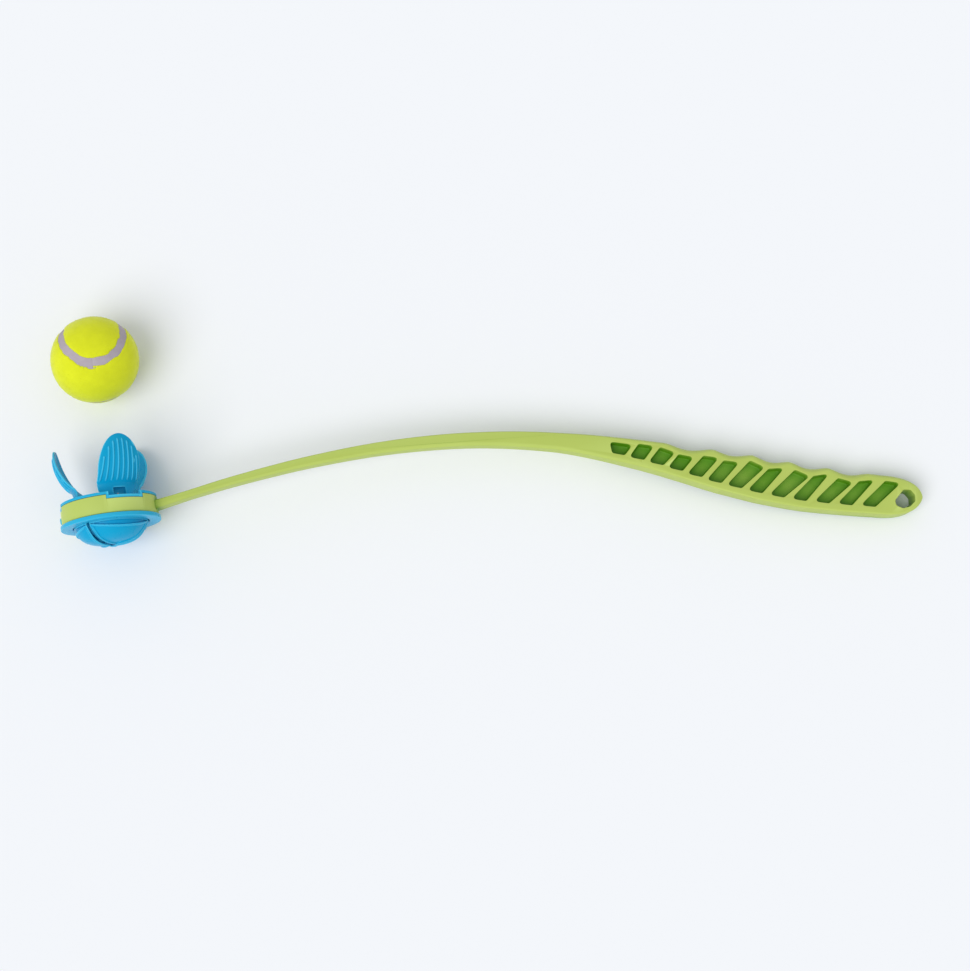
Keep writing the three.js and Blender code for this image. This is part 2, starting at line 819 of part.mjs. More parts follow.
// The ball's pieces in its own frame: two moulded core halves, two felts and the seam filling
function ballPieces() {
  const feltInner = ballRadius - feltThickness;
  const coreOuter = feltInner - fit;
  const core = layer(coreOuter, coreOuter - coreWall);
  const far = ballDiameter;
  const upper = solidOf(block([-far, -far, fit / 2], [far, far, far]));
  const lower = solidOf(block([-far, -far, -far], [far, far, -fit / 2]));
  const felt = layer(ballRadius, feltInner);
  const pads = felt.subtract(seamBand(seamWidth + 2 * fit)).decompose();
  const seam = felt.intersect(seamBand(seamWidth));
  return [
    namedMesh("ball_core_upper", core.intersect(upper), "rubber"),
    namedMesh("ball_core_lower", core.intersect(lower), "rubber"),
    namedMesh("ball_felt_a", pads[0], "felt"),
    namedMesh("ball_felt_b", pads[1], "felt"),
    namedMesh("ball_seam", seam, "seam"),
  ];
}

// The launcher in its own frame
const launcher = new THREE.Group();
launcher.add(namedMesh("launcher_body", launcherBody(), "green"));
launcher.add(namedMesh("claw_carrier", clawCarrier(), "blue"));
launcher.add(namedMesh("top_retainer", topRetainer(), "blue"));
launcher.add(namedMesh("locking_stud", solidOf(lockingStud()), "blue"));
const clawSolid = claw();
const springPoints = springPath();
for (const [name, degrees] of Object.entries(clawDegrees)) {
  const station = new THREE.Group();
  station.rotation.y = -turn(degrees);
  station.add(namedMesh(name, clawSolid, "blue"));
  station.add(namedMesh(name + "_pin", solidOf(pinBar(pinRadius, pinHalf, 12)), "steel"));
  station.add(namedMesh(name + "_spring", solidOf(wire(springPoints, wireDiameter, 5)), "steel"));
  launcher.add(station);
}
console.log("least gap between spring curls, mm:", leastGap(springPoints, wireDiameter).toFixed(2));

// It lies on the flange's rim and the handle's end
const pitch = Math.asin((flangeRadius - handleThickness / 2) / reach);
launcher.rotation.set(0, pitch, turn(yawDegrees), "ZYX");
launcher.updateMatrixWorld(true);

// The ball stands on the same floor, turned so that its seam shows as in use
const floor = new THREE.Box3().setFromObject(launcher, true).min.z;
const ball = new THREE.Group();
ball.add(...ballPieces());
ball.rotation.set(...ballTurnDegrees.map(turn));
const ballPlace = new THREE.Vector3(ballBesideRing, ballBeyondLip, 0).applyEuler(launcher.rotation);
ball.position.set(ballPlace.x, ballPlace.y, floor + ballRadius);

const model = new THREE.Group();
model.name = "dog_ball_launcher";
model.add(launcher, ball);
model.updateMatrixWorld(true);
const bounds = new THREE.Box3().setFromObject(model, true);
const centre = bounds.getCenter(new THREE.Vector3());
model.children.forEach((child) => child.position.sub(centre.setZ(bounds.min.z)));

export default model;
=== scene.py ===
"""Dog ball launcher: a curved green throwing handle, a blue head with three sprung claws, and its felt ball.

Every piece is modelled in millimetres in the launcher's own frame (the ring's axis along Y, the lip's
top face at zero, the stick leaving along X) and put into the shared frame, in metres, at the end.
"""

import json
import logging
import math
import random
from dataclasses import dataclass, field
from enum import Enum
from typing import Callable, Optional, Sequence

import bmesh
import bpy
from mathutils import Euler, Matrix, Vector, kdtree, noise


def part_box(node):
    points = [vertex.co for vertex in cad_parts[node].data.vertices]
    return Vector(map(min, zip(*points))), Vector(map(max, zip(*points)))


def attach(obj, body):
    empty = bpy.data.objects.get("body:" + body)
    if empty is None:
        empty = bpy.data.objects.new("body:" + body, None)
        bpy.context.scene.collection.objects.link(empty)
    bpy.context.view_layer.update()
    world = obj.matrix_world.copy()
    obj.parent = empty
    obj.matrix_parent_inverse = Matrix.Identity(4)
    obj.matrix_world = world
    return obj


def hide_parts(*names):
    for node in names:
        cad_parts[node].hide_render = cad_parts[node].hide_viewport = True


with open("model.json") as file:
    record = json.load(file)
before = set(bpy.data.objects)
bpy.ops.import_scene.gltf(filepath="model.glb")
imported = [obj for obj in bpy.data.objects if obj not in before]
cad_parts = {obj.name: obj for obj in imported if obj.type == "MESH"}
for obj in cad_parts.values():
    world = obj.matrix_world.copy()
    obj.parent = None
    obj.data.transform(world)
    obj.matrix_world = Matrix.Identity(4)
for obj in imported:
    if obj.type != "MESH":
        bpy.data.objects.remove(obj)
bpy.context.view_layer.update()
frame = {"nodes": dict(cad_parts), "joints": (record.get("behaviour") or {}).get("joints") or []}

log = logging.getLogger("launcher")
MM = 0.001
Place = Callable[[float, float], Vector]


class Join(Enum):
    """How one solid acts on another."""

    ADD = "UNION"
    CUT = "DIFFERENCE"
    KEEP = "INTERSECT"


class Body(Enum):
    """The bodies that the pieces ride on."""

    LAUNCHER = "launcher"
    LEFT = "left_grip"
    FRONT = "front_grip"
    REAR = "rear_grip"
    BALL = "ball"


class Slot(Enum):
    """The record's material slots."""

    GREEN = "green_moulding"
    BLUE = "blue_moulding"
    STEEL = "steel"
    RUBBER = "ball_rubber"
    FELT = "ball_felt"
    SEAM = "ball_seam"


# Shapes


def mapped_grid(columns: int, rows: int, place: Place, wrapped: bool = True) -> bmesh.types.BMesh:
    """Makes a closed skin from a grid whose points are put where a rule says.

    Args:
        columns: Faces round the skin.
        rows: Faces along the skin.
        place: Gives the point for a share round and a share along, both from 0 to 1.
        wrapped: Whether the last column meets the first.

    Returns:
        A mesh with merged doubles, filled ends and faces outward.
    """
    skin = bmesh.new()
    bmesh.ops.create_grid(skin, x_segments=columns, y_segments=rows, size=0.5)
    for vert in skin.verts:
        around = round((vert.co.x + 0.5) * columns) / columns
        along = round((vert.co.y + 0.5) * rows) / rows
        if wrapped and around >= 1:
            around = 0
        vert.co = place(around, along)
    bmesh.ops.remove_doubles(skin, verts=skin.verts[:], dist=1e-4)
    edges = [edge for edge in skin.edges if edge.is_boundary]
    if edges:
        bmesh.ops.holes_fill(skin, edges=edges, sides=0)
    bmesh.ops.recalc_face_normals(skin, faces=skin.faces[:])
    return skin


def spun(profile: Sequence[tuple[float, float]], steps: int) -> bmesh.types.BMesh:
    """Turns a closed profile of (radius, height) points about the ring's axis.

    Args:
        profile: The profile's corners in order.
        steps: Faces round the ring.

    Returns:
        A closed ring with faces outward.
    """
    ring = bmesh.new()
    verts = [ring.verts.new((radius, height, 0)) for radius, height in profile]
    edges = [ring.edges.new((verts[i - 1], verts[i])) for i in range(len(verts))]
    bmesh.ops.spin(
        ring,
        geom=verts + edges,
        cent=(0, 0, 0),
        axis=(0, 1, 0),
        angle=2 * math.pi,
        steps=steps,
        use_merge=True,
    )
    bmesh.ops.remove_doubles(ring, verts=ring.verts[:], dist=1e-4)
    bmesh.ops.recalc_face_normals(ring, faces=ring.faces[:])
    return ring


def box(low: Sequence[float], high: Sequence[float], soften: float = 0) -> bmesh.types.BMesh:
    """Makes a block between two corners.

    Args:
        low: Lowest corner.
        high: Highest corner.
        soften: Bevel on all edges.

    Returns:
        The block.
    """
    block = bmesh.new()
    bmesh.ops.create_cube(block, size=1)
    size = Vector(high) - Vector(low)
    bmesh.ops.scale(block, vec=size, verts=block.verts[:])
    bmesh.ops.translate(block, vec=(Vector(high) + Vector(low)) / 2, verts=block.verts[:])
    if soften:
        bmesh.ops.bevel(
            block,
            geom=block.edges[:],
            offset=soften,
            segments=3,
            profile=0.5,
            affect="EDGES",
            material=-1,
        )
    return block


def slab(outline: Sequence[tuple[float, float]], low: float, high: float) -> bmesh.types.BMesh:
    """Extrudes a flat outline in X and Y along Z.

    Args:
        outline: The outline's points in order.
        low: Lower end along Z.
        high: Upper end along Z.

    Returns:
        The closed slab.
    """
    plate = bmesh.new()
    verts = [plate.verts.new((x, y, low)) for x, y in outline]
    face = plate.faces.new(verts)
    made = bmesh.ops.extrude_face_region(plate, geom=[face], use_keep_orig=True)
    moved = [item for item in made["geom"] if isinstance(item, bmesh.types.BMVert)]
    bmesh.ops.translate(plate, vec=(0, 0, high - low), verts=moved)
    bmesh.ops.recalc_face_normals(plate, faces=plate.faces[:])
    return plate


def rounded(profile: Sequence[tuple[float, float]], radius: float, steps: int = 4) -> list[tuple[float, float]]:
    """Rounds the corners of a closed outline.

    Args:
        profile: The outline's corners.
        radius: The rounding, which takes at most 45% of a side.
        steps: Pieces in each corner.

    Returns:
        The points of the rounded outline.
    """
    points = []
    for i, corner in enumerate(profile):
        here = Vector(corner)
        back = Vector(profile[i - 1]) - here
        on = Vector(profile[(i + 1) % len(profile)]) - here
        reach = radius / max(math.tan(back.angle(on) / 2), 1e-3)
        cut = min(reach, 0.45 * back.length, 0.45 * on.length)
        start = here + back.normalized() * cut
        end = here + on.normalized() * cut
        for step in range(steps + 1):
            t = step / steps
            point = start * (1 - t) ** 2 + here * 2 * t * (1 - t) + end * t**2
            points.append((point.x, point.y))
    return points


def bar(radius: float, half: float, sides: int, soften: float = 0) -> bmesh.types.BMesh:
    """Makes a round bar along Z with softened ends.

    Args:
        radius: The bar's radius.
        half: Half its length.
        sides: Faces round it.
        soften: Bevel at its ends.

    Returns:
        The bar, centred on the axis.
    """
    rod = bmesh.new()
    bmesh.ops.create_cone(
        rod, cap_ends=True, segments=sides, radius1=radius, radius2=radius, depth=2 * half
    )
    if soften:
        ends = [edge for edge in rod.edges if abs(edge.verts[0].co.z - edge.verts[1].co.z) < 1e-6]
        bmesh.ops.bevel(
            rod, geom=ends, offset=soften, segments=3, profile=0.5, affect="EDGES", material=-1
        )
    return rod


def tube(points: Sequence[Vector], radius: float, sides: int) -> bmesh.types.BMesh:
    """Makes a round wire along a list of points.

    Args:
        points: The points of the wire's middle line.
        radius: The wire's radius.
        sides: Faces round it.

    Returns:
        The closed wire.
    """
    frames = []
    side = Vector((0, 1, 0))
    for i, point in enumerate(points):
        along = (points[min(i + 1, len(points) - 1)] - points[max(i - 1, 0)]).normalized()
        side = (side - along * side.dot(along)).normalized()
        frames.append((point, side.copy(), along.cross(side)))

    def place(around: float, along: float) -> Vector:
        """Gives a point of the wire's skin."""
        middle, one, other = frames[round(along * (len(frames) - 1))]
        angle = 2 * math.pi * around
        return middle + (one * math.cos(angle) + other * math.sin(angle)) * radius

    return mapped_grid(sides, len(points) - 1, place)


def moved(mesh: bmesh.types.BMesh, matrix: Matrix) -> bmesh.types.BMesh:
    """Puts a mesh somewhere else and returns it."""
    bmesh.ops.transform(mesh, matrix=matrix, verts=mesh.verts[:])
    return mesh


def merged(meshes: Sequence[bmesh.types.BMesh]) -> bmesh.types.BMesh:
    """Puts several meshes into one without joining their skins."""
    whole = meshes[0]
    for mesh in meshes[1:]:
        data = bpy.data.meshes.new("part")
        mesh.to_mesh(data)
        whole.from_mesh(data)
        bpy.data.meshes.remove(data)
        mesh.free()
    return whole


def as_object(mesh: bmesh.types.BMesh, name: str) -> bpy.types.Object:
    """Makes an object of a mesh and frees the mesh."""
    data = bpy.data.meshes.new(name)
    mesh.to_mesh(data)
    mesh.free()
    thing = bpy.data.objects.new(name, data)
    bpy.context.scene.collection.objects.link(thing)
    return thing


def combined(base: bmesh.types.BMesh, other: bmesh.types.BMesh, how: Join) -> bmesh.types.BMesh:
    """Joins, cuts or keeps the common part of two closed meshes.

    Args:
        base: The mesh that is changed.
        other: The mesh that changes it.
        how: What is done.

    Returns:
        The new mesh.
    """
    one = as_object(base, "base")
    two = as_object(other, "other")
    modifier = one.modifiers.new("join", "BOOLEAN")
    modifier.operation = how.value
    modifier.solver = "EXACT"
    modifier.object = two
    bpy.context.view_layer.update()
    depsgraph = bpy.context.evaluated_depsgraph_get()
    data = bpy.data.meshes.new_from_object(one.evaluated_get(depsgraph))
    result = bmesh.new()
    result.from_mesh(data)
    bmesh.ops.remove_doubles(result, verts=result.verts[:], dist=1e-3)
    for thing in (one, two):
        old = thing.data
        bpy.data.objects.remove(thing)
        bpy.data.meshes.remove(old)
    bpy.data.meshes.remove(data)
    return result


# Finishes


def linear(colour: tuple[int, int, int]) -> tuple[float, float, float, float]:
    """Turns a screen colour from 0 to 255 into the linear values that nodes take."""
    shares = [value / 255 for value in colour]
    values = [s / 12.92 if s <= 0.04045 else ((s + 0.055) / 1.055) ** 2.4 for s in shares]
    return (*values, 1.0)


@dataclass(frozen=True)
class Socket:
    """One socket of a node group."""

    name: str
    kind: str
    value: Optional[float] = None


class Group:
    """A shader node group built once, with named inputs and outputs."""

    def __init__(self, name: str, inputs: Sequence[Socket], outputs: Sequence[Socket]) -> None:
        """Makes the empty group.

        Args:
            name: The group's name.
            inputs: Its inputs.
            outputs: Its outputs.
        """
        self.tree = bpy.data.node_groups.new(name, "ShaderNodeTree")
        for side, sockets in (("INPUT", inputs), ("OUTPUT", outputs)):
            for socket in sockets:
                made = self.tree.interface.new_socket(
                    socket.name, in_out=side, socket_type=socket.kind
                )
                if socket.value is not None:
                    made.default_value = socket.value
        self.enter = self.tree.nodes.new("NodeGroupInput")
        self.leave = self.tree.nodes.new("NodeGroupOutput")

    def node(self, kind: str, **settings: object) -> bpy.types.Node:
        """Adds a node with its settings."""
        made = self.tree.nodes.new(kind)
        for key, value in settings.items():
            setattr(made, key, value)
        return made

    def link(self, start: bpy.types.NodeSocket, end: bpy.types.NodeSocket) -> None:
        """Links two sockets."""
        self.tree.links.new(start, end)

    def noise(self, scale: float, detail: float, rough: float = 0.5) -> bpy.types.Node:
        """Adds noise on the object's own coordinates.

        Args:
            scale: Waves per metre.
            detail: Octaves.
            rough: How strong the finer octaves are.

        Returns:
            The noise node.
        """
        place = self.node("ShaderNodeTexCoord")
        made = self.node("ShaderNodeTexNoise")
        made.inputs["Scale"].default_value = scale
        made.inputs["Detail"].default_value = detail
        made.inputs["Roughness"].default_value = rough
        self.link(place.outputs["Object"], made.inputs["Vector"])
        return made

    def ranged(
        self, value: bpy.types.NodeSocket, low: float, high: float, start: float, end: float
    ) -> bpy.types.NodeSocket:
        """Maps a value from one range to another.

        Args:
            value: The value's socket.
            low: Where the range starts.
            high: Where the range ends.
            start: What the range's start becomes.
            end: What the range's end becomes.

        Returns:
            The mapped value's socket.
        """
        node = self.node("ShaderNodeMapRange")
        for name, number in (
            ("From Min", low),
            ("From Max", high),
            ("To Min", start),
            ("To Max", end),
        ):
            node.inputs[name].default_value = number
        self.link(value, node.inputs["Value"])
        return node.outputs["Result"]

    def mix(
        self,
        share: bpy.types.NodeSocket,
        one: bpy.types.NodeSocket,
        two: bpy.types.NodeSocket,
        blend: str = "MIX",
    ) -> bpy.types.NodeSocket:
        """Mixes two colours.

        Args:
            share: How much of the second.
            one: The first colour.
            two: The second colour.
            blend: The way of mixing.

        Returns:
            The mixed colour's socket.
        """
        node = self.node("ShaderNodeMix", data_type="RGBA", blend_type=blend)
        self.link(share, node.inputs[0])
        self.link(one, node.inputs[6])
        self.link(two, node.inputs[7])
        return node.outputs[2]


COLOUR = "NodeSocketColor"
NUMBER = "NodeSocketFloat"


def moulding_tone_and_painted_light() -> Group:
    """Builds the group that paints light and shade onto moulded plastic: painted shade in hollows, a painted
    highlight on edges, and faint random tone.

    Returns:
        The group, whose outputs are a colour, a roughness and a bump height.
    """
    group = Group(
        "moulding_tone_and_painted_light",
        [
            Socket("Face", COLOUR),
            Socket("Hollow Shade", COLOUR),
            Socket("Edge Highlight And Pale Mottle", COLOUR),
            Socket("Hollow Reach", NUMBER, 0.01),
            Socket("Hollow Share", NUMBER, 1.0),
            Socket("Roughness", NUMBER, 0.4),
        ],
        [Socket("Colour", COLOUR), Socket("Roughness", NUMBER), Socket("Height", NUMBER)],
    )
    enter = group.enter.outputs
    # Painted shade: ambient occlusion darkens the colour towards the hollow colour in pockets, recesses and
    # between parts.
    shade = group.node("ShaderNodeAmbientOcclusion", samples=8)
    group.link(enter["Hollow Reach"], shade.inputs["Distance"])
    depth = group.ranged(shade.outputs["AO"], 0.46, 0.88, 1.0, 0.0)
    share = group.node("ShaderNodeMath", operation="MULTIPLY")
    group.link(depth, share.inputs[0])
    group.link(enter["Hollow Share"], share.inputs[1])
    body = group.mix(share.outputs[0], enter["Face"], enter["Hollow Shade"])
    # Painted highlight: pointiness lightens sharp edges and rims towards the pale edge colour.
    shape = group.node("ShaderNodeNewGeometry")
    edges = group.ranged(shape.outputs["Pointiness"], 0.508, 0.56, 0.0, 0.85)
    edge_highlighted = group.mix(edges, body, enter["Edge Highlight And Pale Mottle"])
    # Faint random pale mottle, the plastic's own uneven tone, mixed towards the same pale colour.
    cloud = group.noise(38, 3)
    tone = group.ranged(cloud.outputs["Fac"], 0.3, 0.7, 0.0, 0.08)
    group.link(group.mix(tone, edge_highlighted, enter["Edge Highlight And Pale Mottle"]), group.leave.inputs["Colour"])
    streak = group.noise(260, 4, 0.6)
    rough = group.node("ShaderNodeMath", operation="ADD")
    group.link(enter["Roughness"], rough.inputs[0])
    group.link(group.ranged(streak.outputs["Fac"], 0.3, 0.7, -0.05, 0.06), rough.inputs[1])
    group.link(rough.outputs[0], group.leave.inputs["Roughness"])
    grain = group.noise(2600, 2, 0.5)
    wave = group.noise(90, 2)
    sum_node = group.node("ShaderNodeMath", operation="MULTIPLY_ADD")
    group.link(wave.outputs["Fac"], sum_node.inputs[0])
    sum_node.inputs[1].default_value = 3.0
    group.link(grain.outputs["Fac"], sum_node.inputs[2])
    group.link(sum_node.outputs[0], group.leave.inputs["Height"])
    return group


def nap_tone() -> Group:
    """Builds the group that gives felt its matted look: clumps, creases and fine hairs.

    Returns:
        The group, whose outputs are a colour, a roughness and a bump height.
    """
    group = Group(
        "nap_tone",
        [Socket("Light", COLOUR), Socket("Dark", COLOUR), Socket("Clump Share", NUMBER, 1.0)],
        [Socket("Colour", COLOUR), Socket("Roughness", NUMBER), Socket("Height", NUMBER)],
    )
    enter = group.enter.outputs
    clumps = group.noise(75, 4, 0.65)
    clump = group.ranged(clumps.outputs["Fac"], 0.35, 0.68, 0.0, 0.6)
    share = group.node("ShaderNodeMath", operation="MULTIPLY")
    group.link(clump, share.inputs[0])
    group.link(enter["Clump Share"], share.inputs[1])
    base = group.mix(share.outputs[0], enter["Light"], enter["Dark"])
    hairs = group.noise(1500, 3, 0.7)
    fine = group.ranged(hairs.outputs["Fac"], 0.3, 0.7, 0.0, 0.35)
    group.link(group.mix(fine, base, enter["Dark"]), group.leave.inputs["Colour"])
    group.link(
        group.ranged(hairs.outputs["Fac"], 0.3, 0.7, 0.86, 1.0), group.leave.inputs["Roughness"]
    )
    height = group.node("ShaderNodeMath", operation="MULTIPLY_ADD")
    group.link(clumps.outputs["Fac"], height.inputs[0])
    height.inputs[1].default_value = 2.0
    group.link(hairs.outputs["Fac"], height.inputs[2])
    group.link(height.outputs[0], group.leave.inputs["Height"])
    return group


def drawn_metal() -> Group:
    """Builds the group for drawn steel wire.

    Returns:
        The group, whose outputs are a colour, a roughness and a bump height.
    """
    group = Group(
        "drawn_metal",
        [Socket("Light", COLOUR), Socket("Dark", COLOUR)],
        [Socket("Colour", COLOUR), Socket("Roughness", NUMBER), Socket("Height", NUMBER)],
    )
    enter = group.enter.outputs
    marks = group.noise(900, 3, 0.6)
    share = group.ranged(marks.outputs["Fac"], 0.35, 0.7, 0.0, 0.7)
    group.link(group.mix(share, enter["Light"], enter["Dark"]), group.leave.inputs["Colour"])
    group.link(
        group.ranged(marks.outputs["Fac"], 0.3, 0.7, 0.22, 0.42), group.leave.inputs["Roughness"]
    )
    group.link(marks.outputs["Fac"], group.leave.inputs["Height"])
    return group


@dataclass(frozen=True)
class Finish:
    """A finish: its tone group, the colours it takes and its plain shader values."""

    name: str
    colours: dict[str, tuple[int, int, int]]
    numbers: dict[str, float] = field(default_factory=dict)
    shader: dict[str, float] = field(default_factory=dict)
    bump: float = 0.00001
    strength: float = 0.5

    def material(self, group: Group) -> bpy.types.Material:
        """Builds the material round its tone group.

        Args:
            group: The group that gives colour, roughness and height.

        Returns:
            The material.
        """
        made = bpy.data.materials.new(self.name)
        made.use_nodes = True
        tree = made.node_tree
        shader = tree.nodes["Principled BSDF"]
        tone = tree.nodes.new("ShaderNodeGroup")
        tone.node_tree = group.tree
        for name, colour in self.colours.items():
            tone.inputs[name].default_value = linear(colour)
        for name, number in self.numbers.items():
            tone.inputs[name].default_value = number
        for name, number in self.shader.items():
            shader.inputs[name].default_value = number
        bump = tree.nodes.new("ShaderNodeBump")
        bump.inputs["Strength"].default_value = self.strength
        bump.inputs["Distance"].default_value = self.bump
        tree.links.new(tone.outputs["Colour"], shader.inputs["Base Color"])
        tree.links.new(tone.outputs["Roughness"], shader.inputs["Roughness"])
        tree.links.new(tone.outputs["Height"], bump.inputs["Height"])
        tree.links.new(bump.outputs["Normal"], shader.inputs["Normal"])
        return made


# In GREEN and BLUE the second colour is painted shade for hollows and the third is a painted highlight for
# edges (also used for faint random pale mottle); the first is the plastic's own colour.
GREEN = Finish(
    "satin_green_plastic",
    {"Face": (177, 195, 90), "Hollow Shade": (84, 150, 0), "Edge Highlight And Pale Mottle": (202, 222, 124)},
    {"Hollow Reach": 0.012, "Hollow Share": 1.0, "Roughness": 0.46},
    {"IOR": 1.46, "Specular IOR Level": 0.32},
)
BLUE = Finish(
    "gloss_blue_plastic",
    {"Face": (0, 161, 209), "Hollow Shade": (0, 104, 164), "Edge Highlight And Pale Mottle": (84, 208, 242)},
    {"Hollow Reach": 0.004, "Hollow Share": 0.15, "Roughness": 0.3},
    {"IOR": 1.46, "Specular IOR Level": 0.12},
)
FELT = Finish(
    "yellow_felt",
    {"Light": (230, 237, 42), "Dark": (210, 217, 36)},
    {"Clump Share": 0.8},
    {"Sheen Weight": 0.35, "Sheen Roughness": 0.4, "Specular IOR Level": 0.05},
    0.00025,
    0.5,
)
SEAM = Finish(
    "grey_seam_glue",
    {"Light": (188, 178, 186), "Dark": (164, 152, 162)},
    {"Clump Share": 1.0},
    {"Specular IOR Level": 0.2},
    0.00012,
    0.5,
)
RUBBER = Finish(
    "dark_core_rubber",
    {"Light": (92, 86, 84), "Dark": (62, 58, 56)},
    {"Clump Share": 1.0},
    {"Specular IOR Level": 0.3},
    0.0001,
    0.4,
)
STEEL = Finish(
    "drawn_steel",
    {"Light": (172, 174, 178), "Dark": (128, 131, 137)},
    {},
    {"Metallic": 1.0},
    0.00001,
    0.4,
)


class Finishes:
    """All materials, built once."""

    def __init__(self) -> None:
        """Builds the groups and the materials."""
        moulding, nap, drawn = moulding_tone_and_painted_light(), nap_tone(), drawn_metal()
        self.by_slot = {
            Slot.GREEN: GREEN.material(moulding),
            Slot.BLUE: BLUE.material(moulding),
            Slot.STEEL: STEEL.material(drawn),
            Slot.RUBBER: RUBBER.material(nap),
            Slot.FELT: FELT.material(nap),
            Slot.SEAM: SEAM.material(nap),
        }


class LauncherFrame:
    """Where the launcher lies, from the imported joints."""

    PIN_DEPTH = 4.0

    def __init__(self) -> None:
        """Reads the hinges and works out the launcher's and the stations' places."""
        hinges = {j["name"]: j for j in frame["joints"]}
        names = ("left_claw_hinge", "front_claw_hinge", "rear_claw_hinge")
        self.axes = [Vector(hinges[name]["axis"]) for name in names]
        spots = [Vector(hinges[name]["pos_m"]) for name in names]
        up = self.axes[0].normalized()
        ring = self.axes[1].cross(self.axes[2]).normalized()
        if ring.y < 0:
            ring.negate()
        ring = (ring - up * ring.dot(up)).normalized()
        out = ring.cross(up)
        middle = sum(spots, Vector()) / 3 + ring * self.PIN_DEPTH * MM
        turn = Matrix((out, ring, up)).transposed().to_4x4()
        self.matrix = Matrix.Translation(middle) @ turn @ Matrix.Scale(MM, 4)

    def station(self, degrees: float) -> Matrix:
        """Gives the matrix of one claw's place on the ring."""
        return self.matrix @ Matrix.Rotation(-math.radians(degrees), 4, "Y")


class Maker:
    """Puts finished meshes into the scene."""

    def __init__(self, finishes: Finishes) -> None:
        """Keeps the finishes."""
        self.finishes = finishes

    def piece(
        self,
        name: str,
        mesh: bmesh.types.BMesh,
        matrix: Matrix,
        body: Body,
        slot: Slot,
        nodes: Sequence[str],
        smooth_degrees: float = 35,
    ) -> bpy.types.Object:
        """Makes one finished piece, on its body and in place of its nodes.

        Args:
            name: The piece's name.
            mesh: Its mesh in millimetres, which is freed.
            matrix: From its frame to the shared one.
            body: The body it rides on.
            slot: Its material slot.
            nodes: The CAD nodes it replaces.
            smooth_degrees: Edges sharper than this stay sharp.

        Returns:
            The piece's object.
        """
        bmesh.ops.transform(mesh, matrix=matrix, verts=mesh.verts[:])
        for face in mesh.faces:
            face.smooth = True
        limit = math.radians(smooth_degrees)
        for edge in mesh.edges:
            edge.smooth = edge.calc_face_angle(0) < limit
        thing = as_object(mesh, name)
        thing.data.materials.append(self.finishes.by_slot[slot])
        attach(thing, body.value)
        if nodes:
            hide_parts(*nodes)
        log.info("%s: %d faces on %s", name, len(thing.data.polygons), body.value)
        return thing


# The green moulding


@dataclass
class HandleLine:
    """The bent centre line of stick and handle."""

    root: Vector
    span: float
    shares: tuple[tuple[float, float], ...] = (
        (0, 0),
        (0.113, 0.0172),
        (0.222, 0.0275),
        (0.327, 0.0297),
        (0.433, 0.0217),
        (0.538, 0.0018),
        (0.64, -0.03),
        (0.742, -0.0689),
        (0.843, -0.1057),
        (0.947, -0.1345),
        (1, -0.146),
    )
    pieces: int = 60

    def __post_init__(self) -> None:
        """Draws the curve through the points and measures it."""
        knots = [self.root + Vector((x, y)) * self.span for x, y in self.shares]
        first = knots[0] * 2 - knots[1]
        last = knots[-1] * 2 - knots[-2]
        chain = [first, *knots, last]
        self.points: list[Vector] = [knots[0]]
        for i in range(1, len(knots)):
            self.points += self._stretch(chain[i - 1 : i + 3])
        self.reached = [0.0]
        for one, two in zip(self.points, self.points[1:]):
            self.reached.append(self.reached[-1] + (two - one).length)
        self.length = self.reached[-1]

    def _stretch(self, four: Sequence[Vector]) -> list[Vector]:
        """Draws the curve between the middle two of four knots.

        Args:
            four: Four knots in a row.

        Returns:
            The points after the second knot, up to the third.
        """
        a, b, c, d = four
        gaps = [math.sqrt((q - p).length) for p, q in ((a, b), (b, c), (c, d))]
        start = (b - a) / gaps[0] - (c - a) / (gaps[0] + gaps[1]) + (c - b) / gaps[1]
        end = (c - b) / gaps[1] - (d - b) / (gaps[1] + gaps[2]) + (d - c) / gaps[2]
        start, end = start * gaps[1], end * gaps[1]
        points = []
        for step in range(1, self.pieces + 1):
            t = step / self.pieces
            cubic = (b - c) * 2 + start + end
            square = (c - b) * 3 - start * 2 - end
            points.append(b + start * t + square * t**2 + cubic * t**3)
        return points

    def at(self, share: float) -> tuple[Vector, Vector, Vector]:
        """Gives the middle, along and across of the line at a share of its length.

        Args:
            share: From 0 at the ring to 1 at the handle's end.

        Returns:
            The point and the two unit directions.
        """
        goal = min(max(share, 0), 1) * self.length
        i = 1
        low, high = 1, len(self.points) - 1
        while low < high:
            i = (low + high) // 2
            if self.reached[i] < goal:
                low = i + 1
            else:
                high = i
        i = low
        part = (goal - self.reached[i - 1]) / (self.reached[i] - self.reached[i - 1])
        middle = self.points[i - 1].lerp(self.points[i], part)
        near = self.points[max(i - 4, 0)]
        far = self.points[min(i + 3, len(self.points) - 1)]
        along = (far - near).normalized()
        return middle, along, Vector((-along.y, along.x))


def between(table: Sequence[Sequence[float]], share: float, column: int) -> float:
    """Reads a table between its rows by its first column."""
    if share <= table[0][0]:
        return table[0][column]
    for before, after in zip(table, table[1:]):
        if share <= after[0]:
            part = (share - before[0]) / (after[0] - before[0])
            return before[column] + (after[column] - before[column]) * part
    return table[-1][column]


@dataclass
class Section:
    """The handle's cross-section at one place."""

    foot: float
    thickness: float
    corner: float
    crown: float
    rim: float


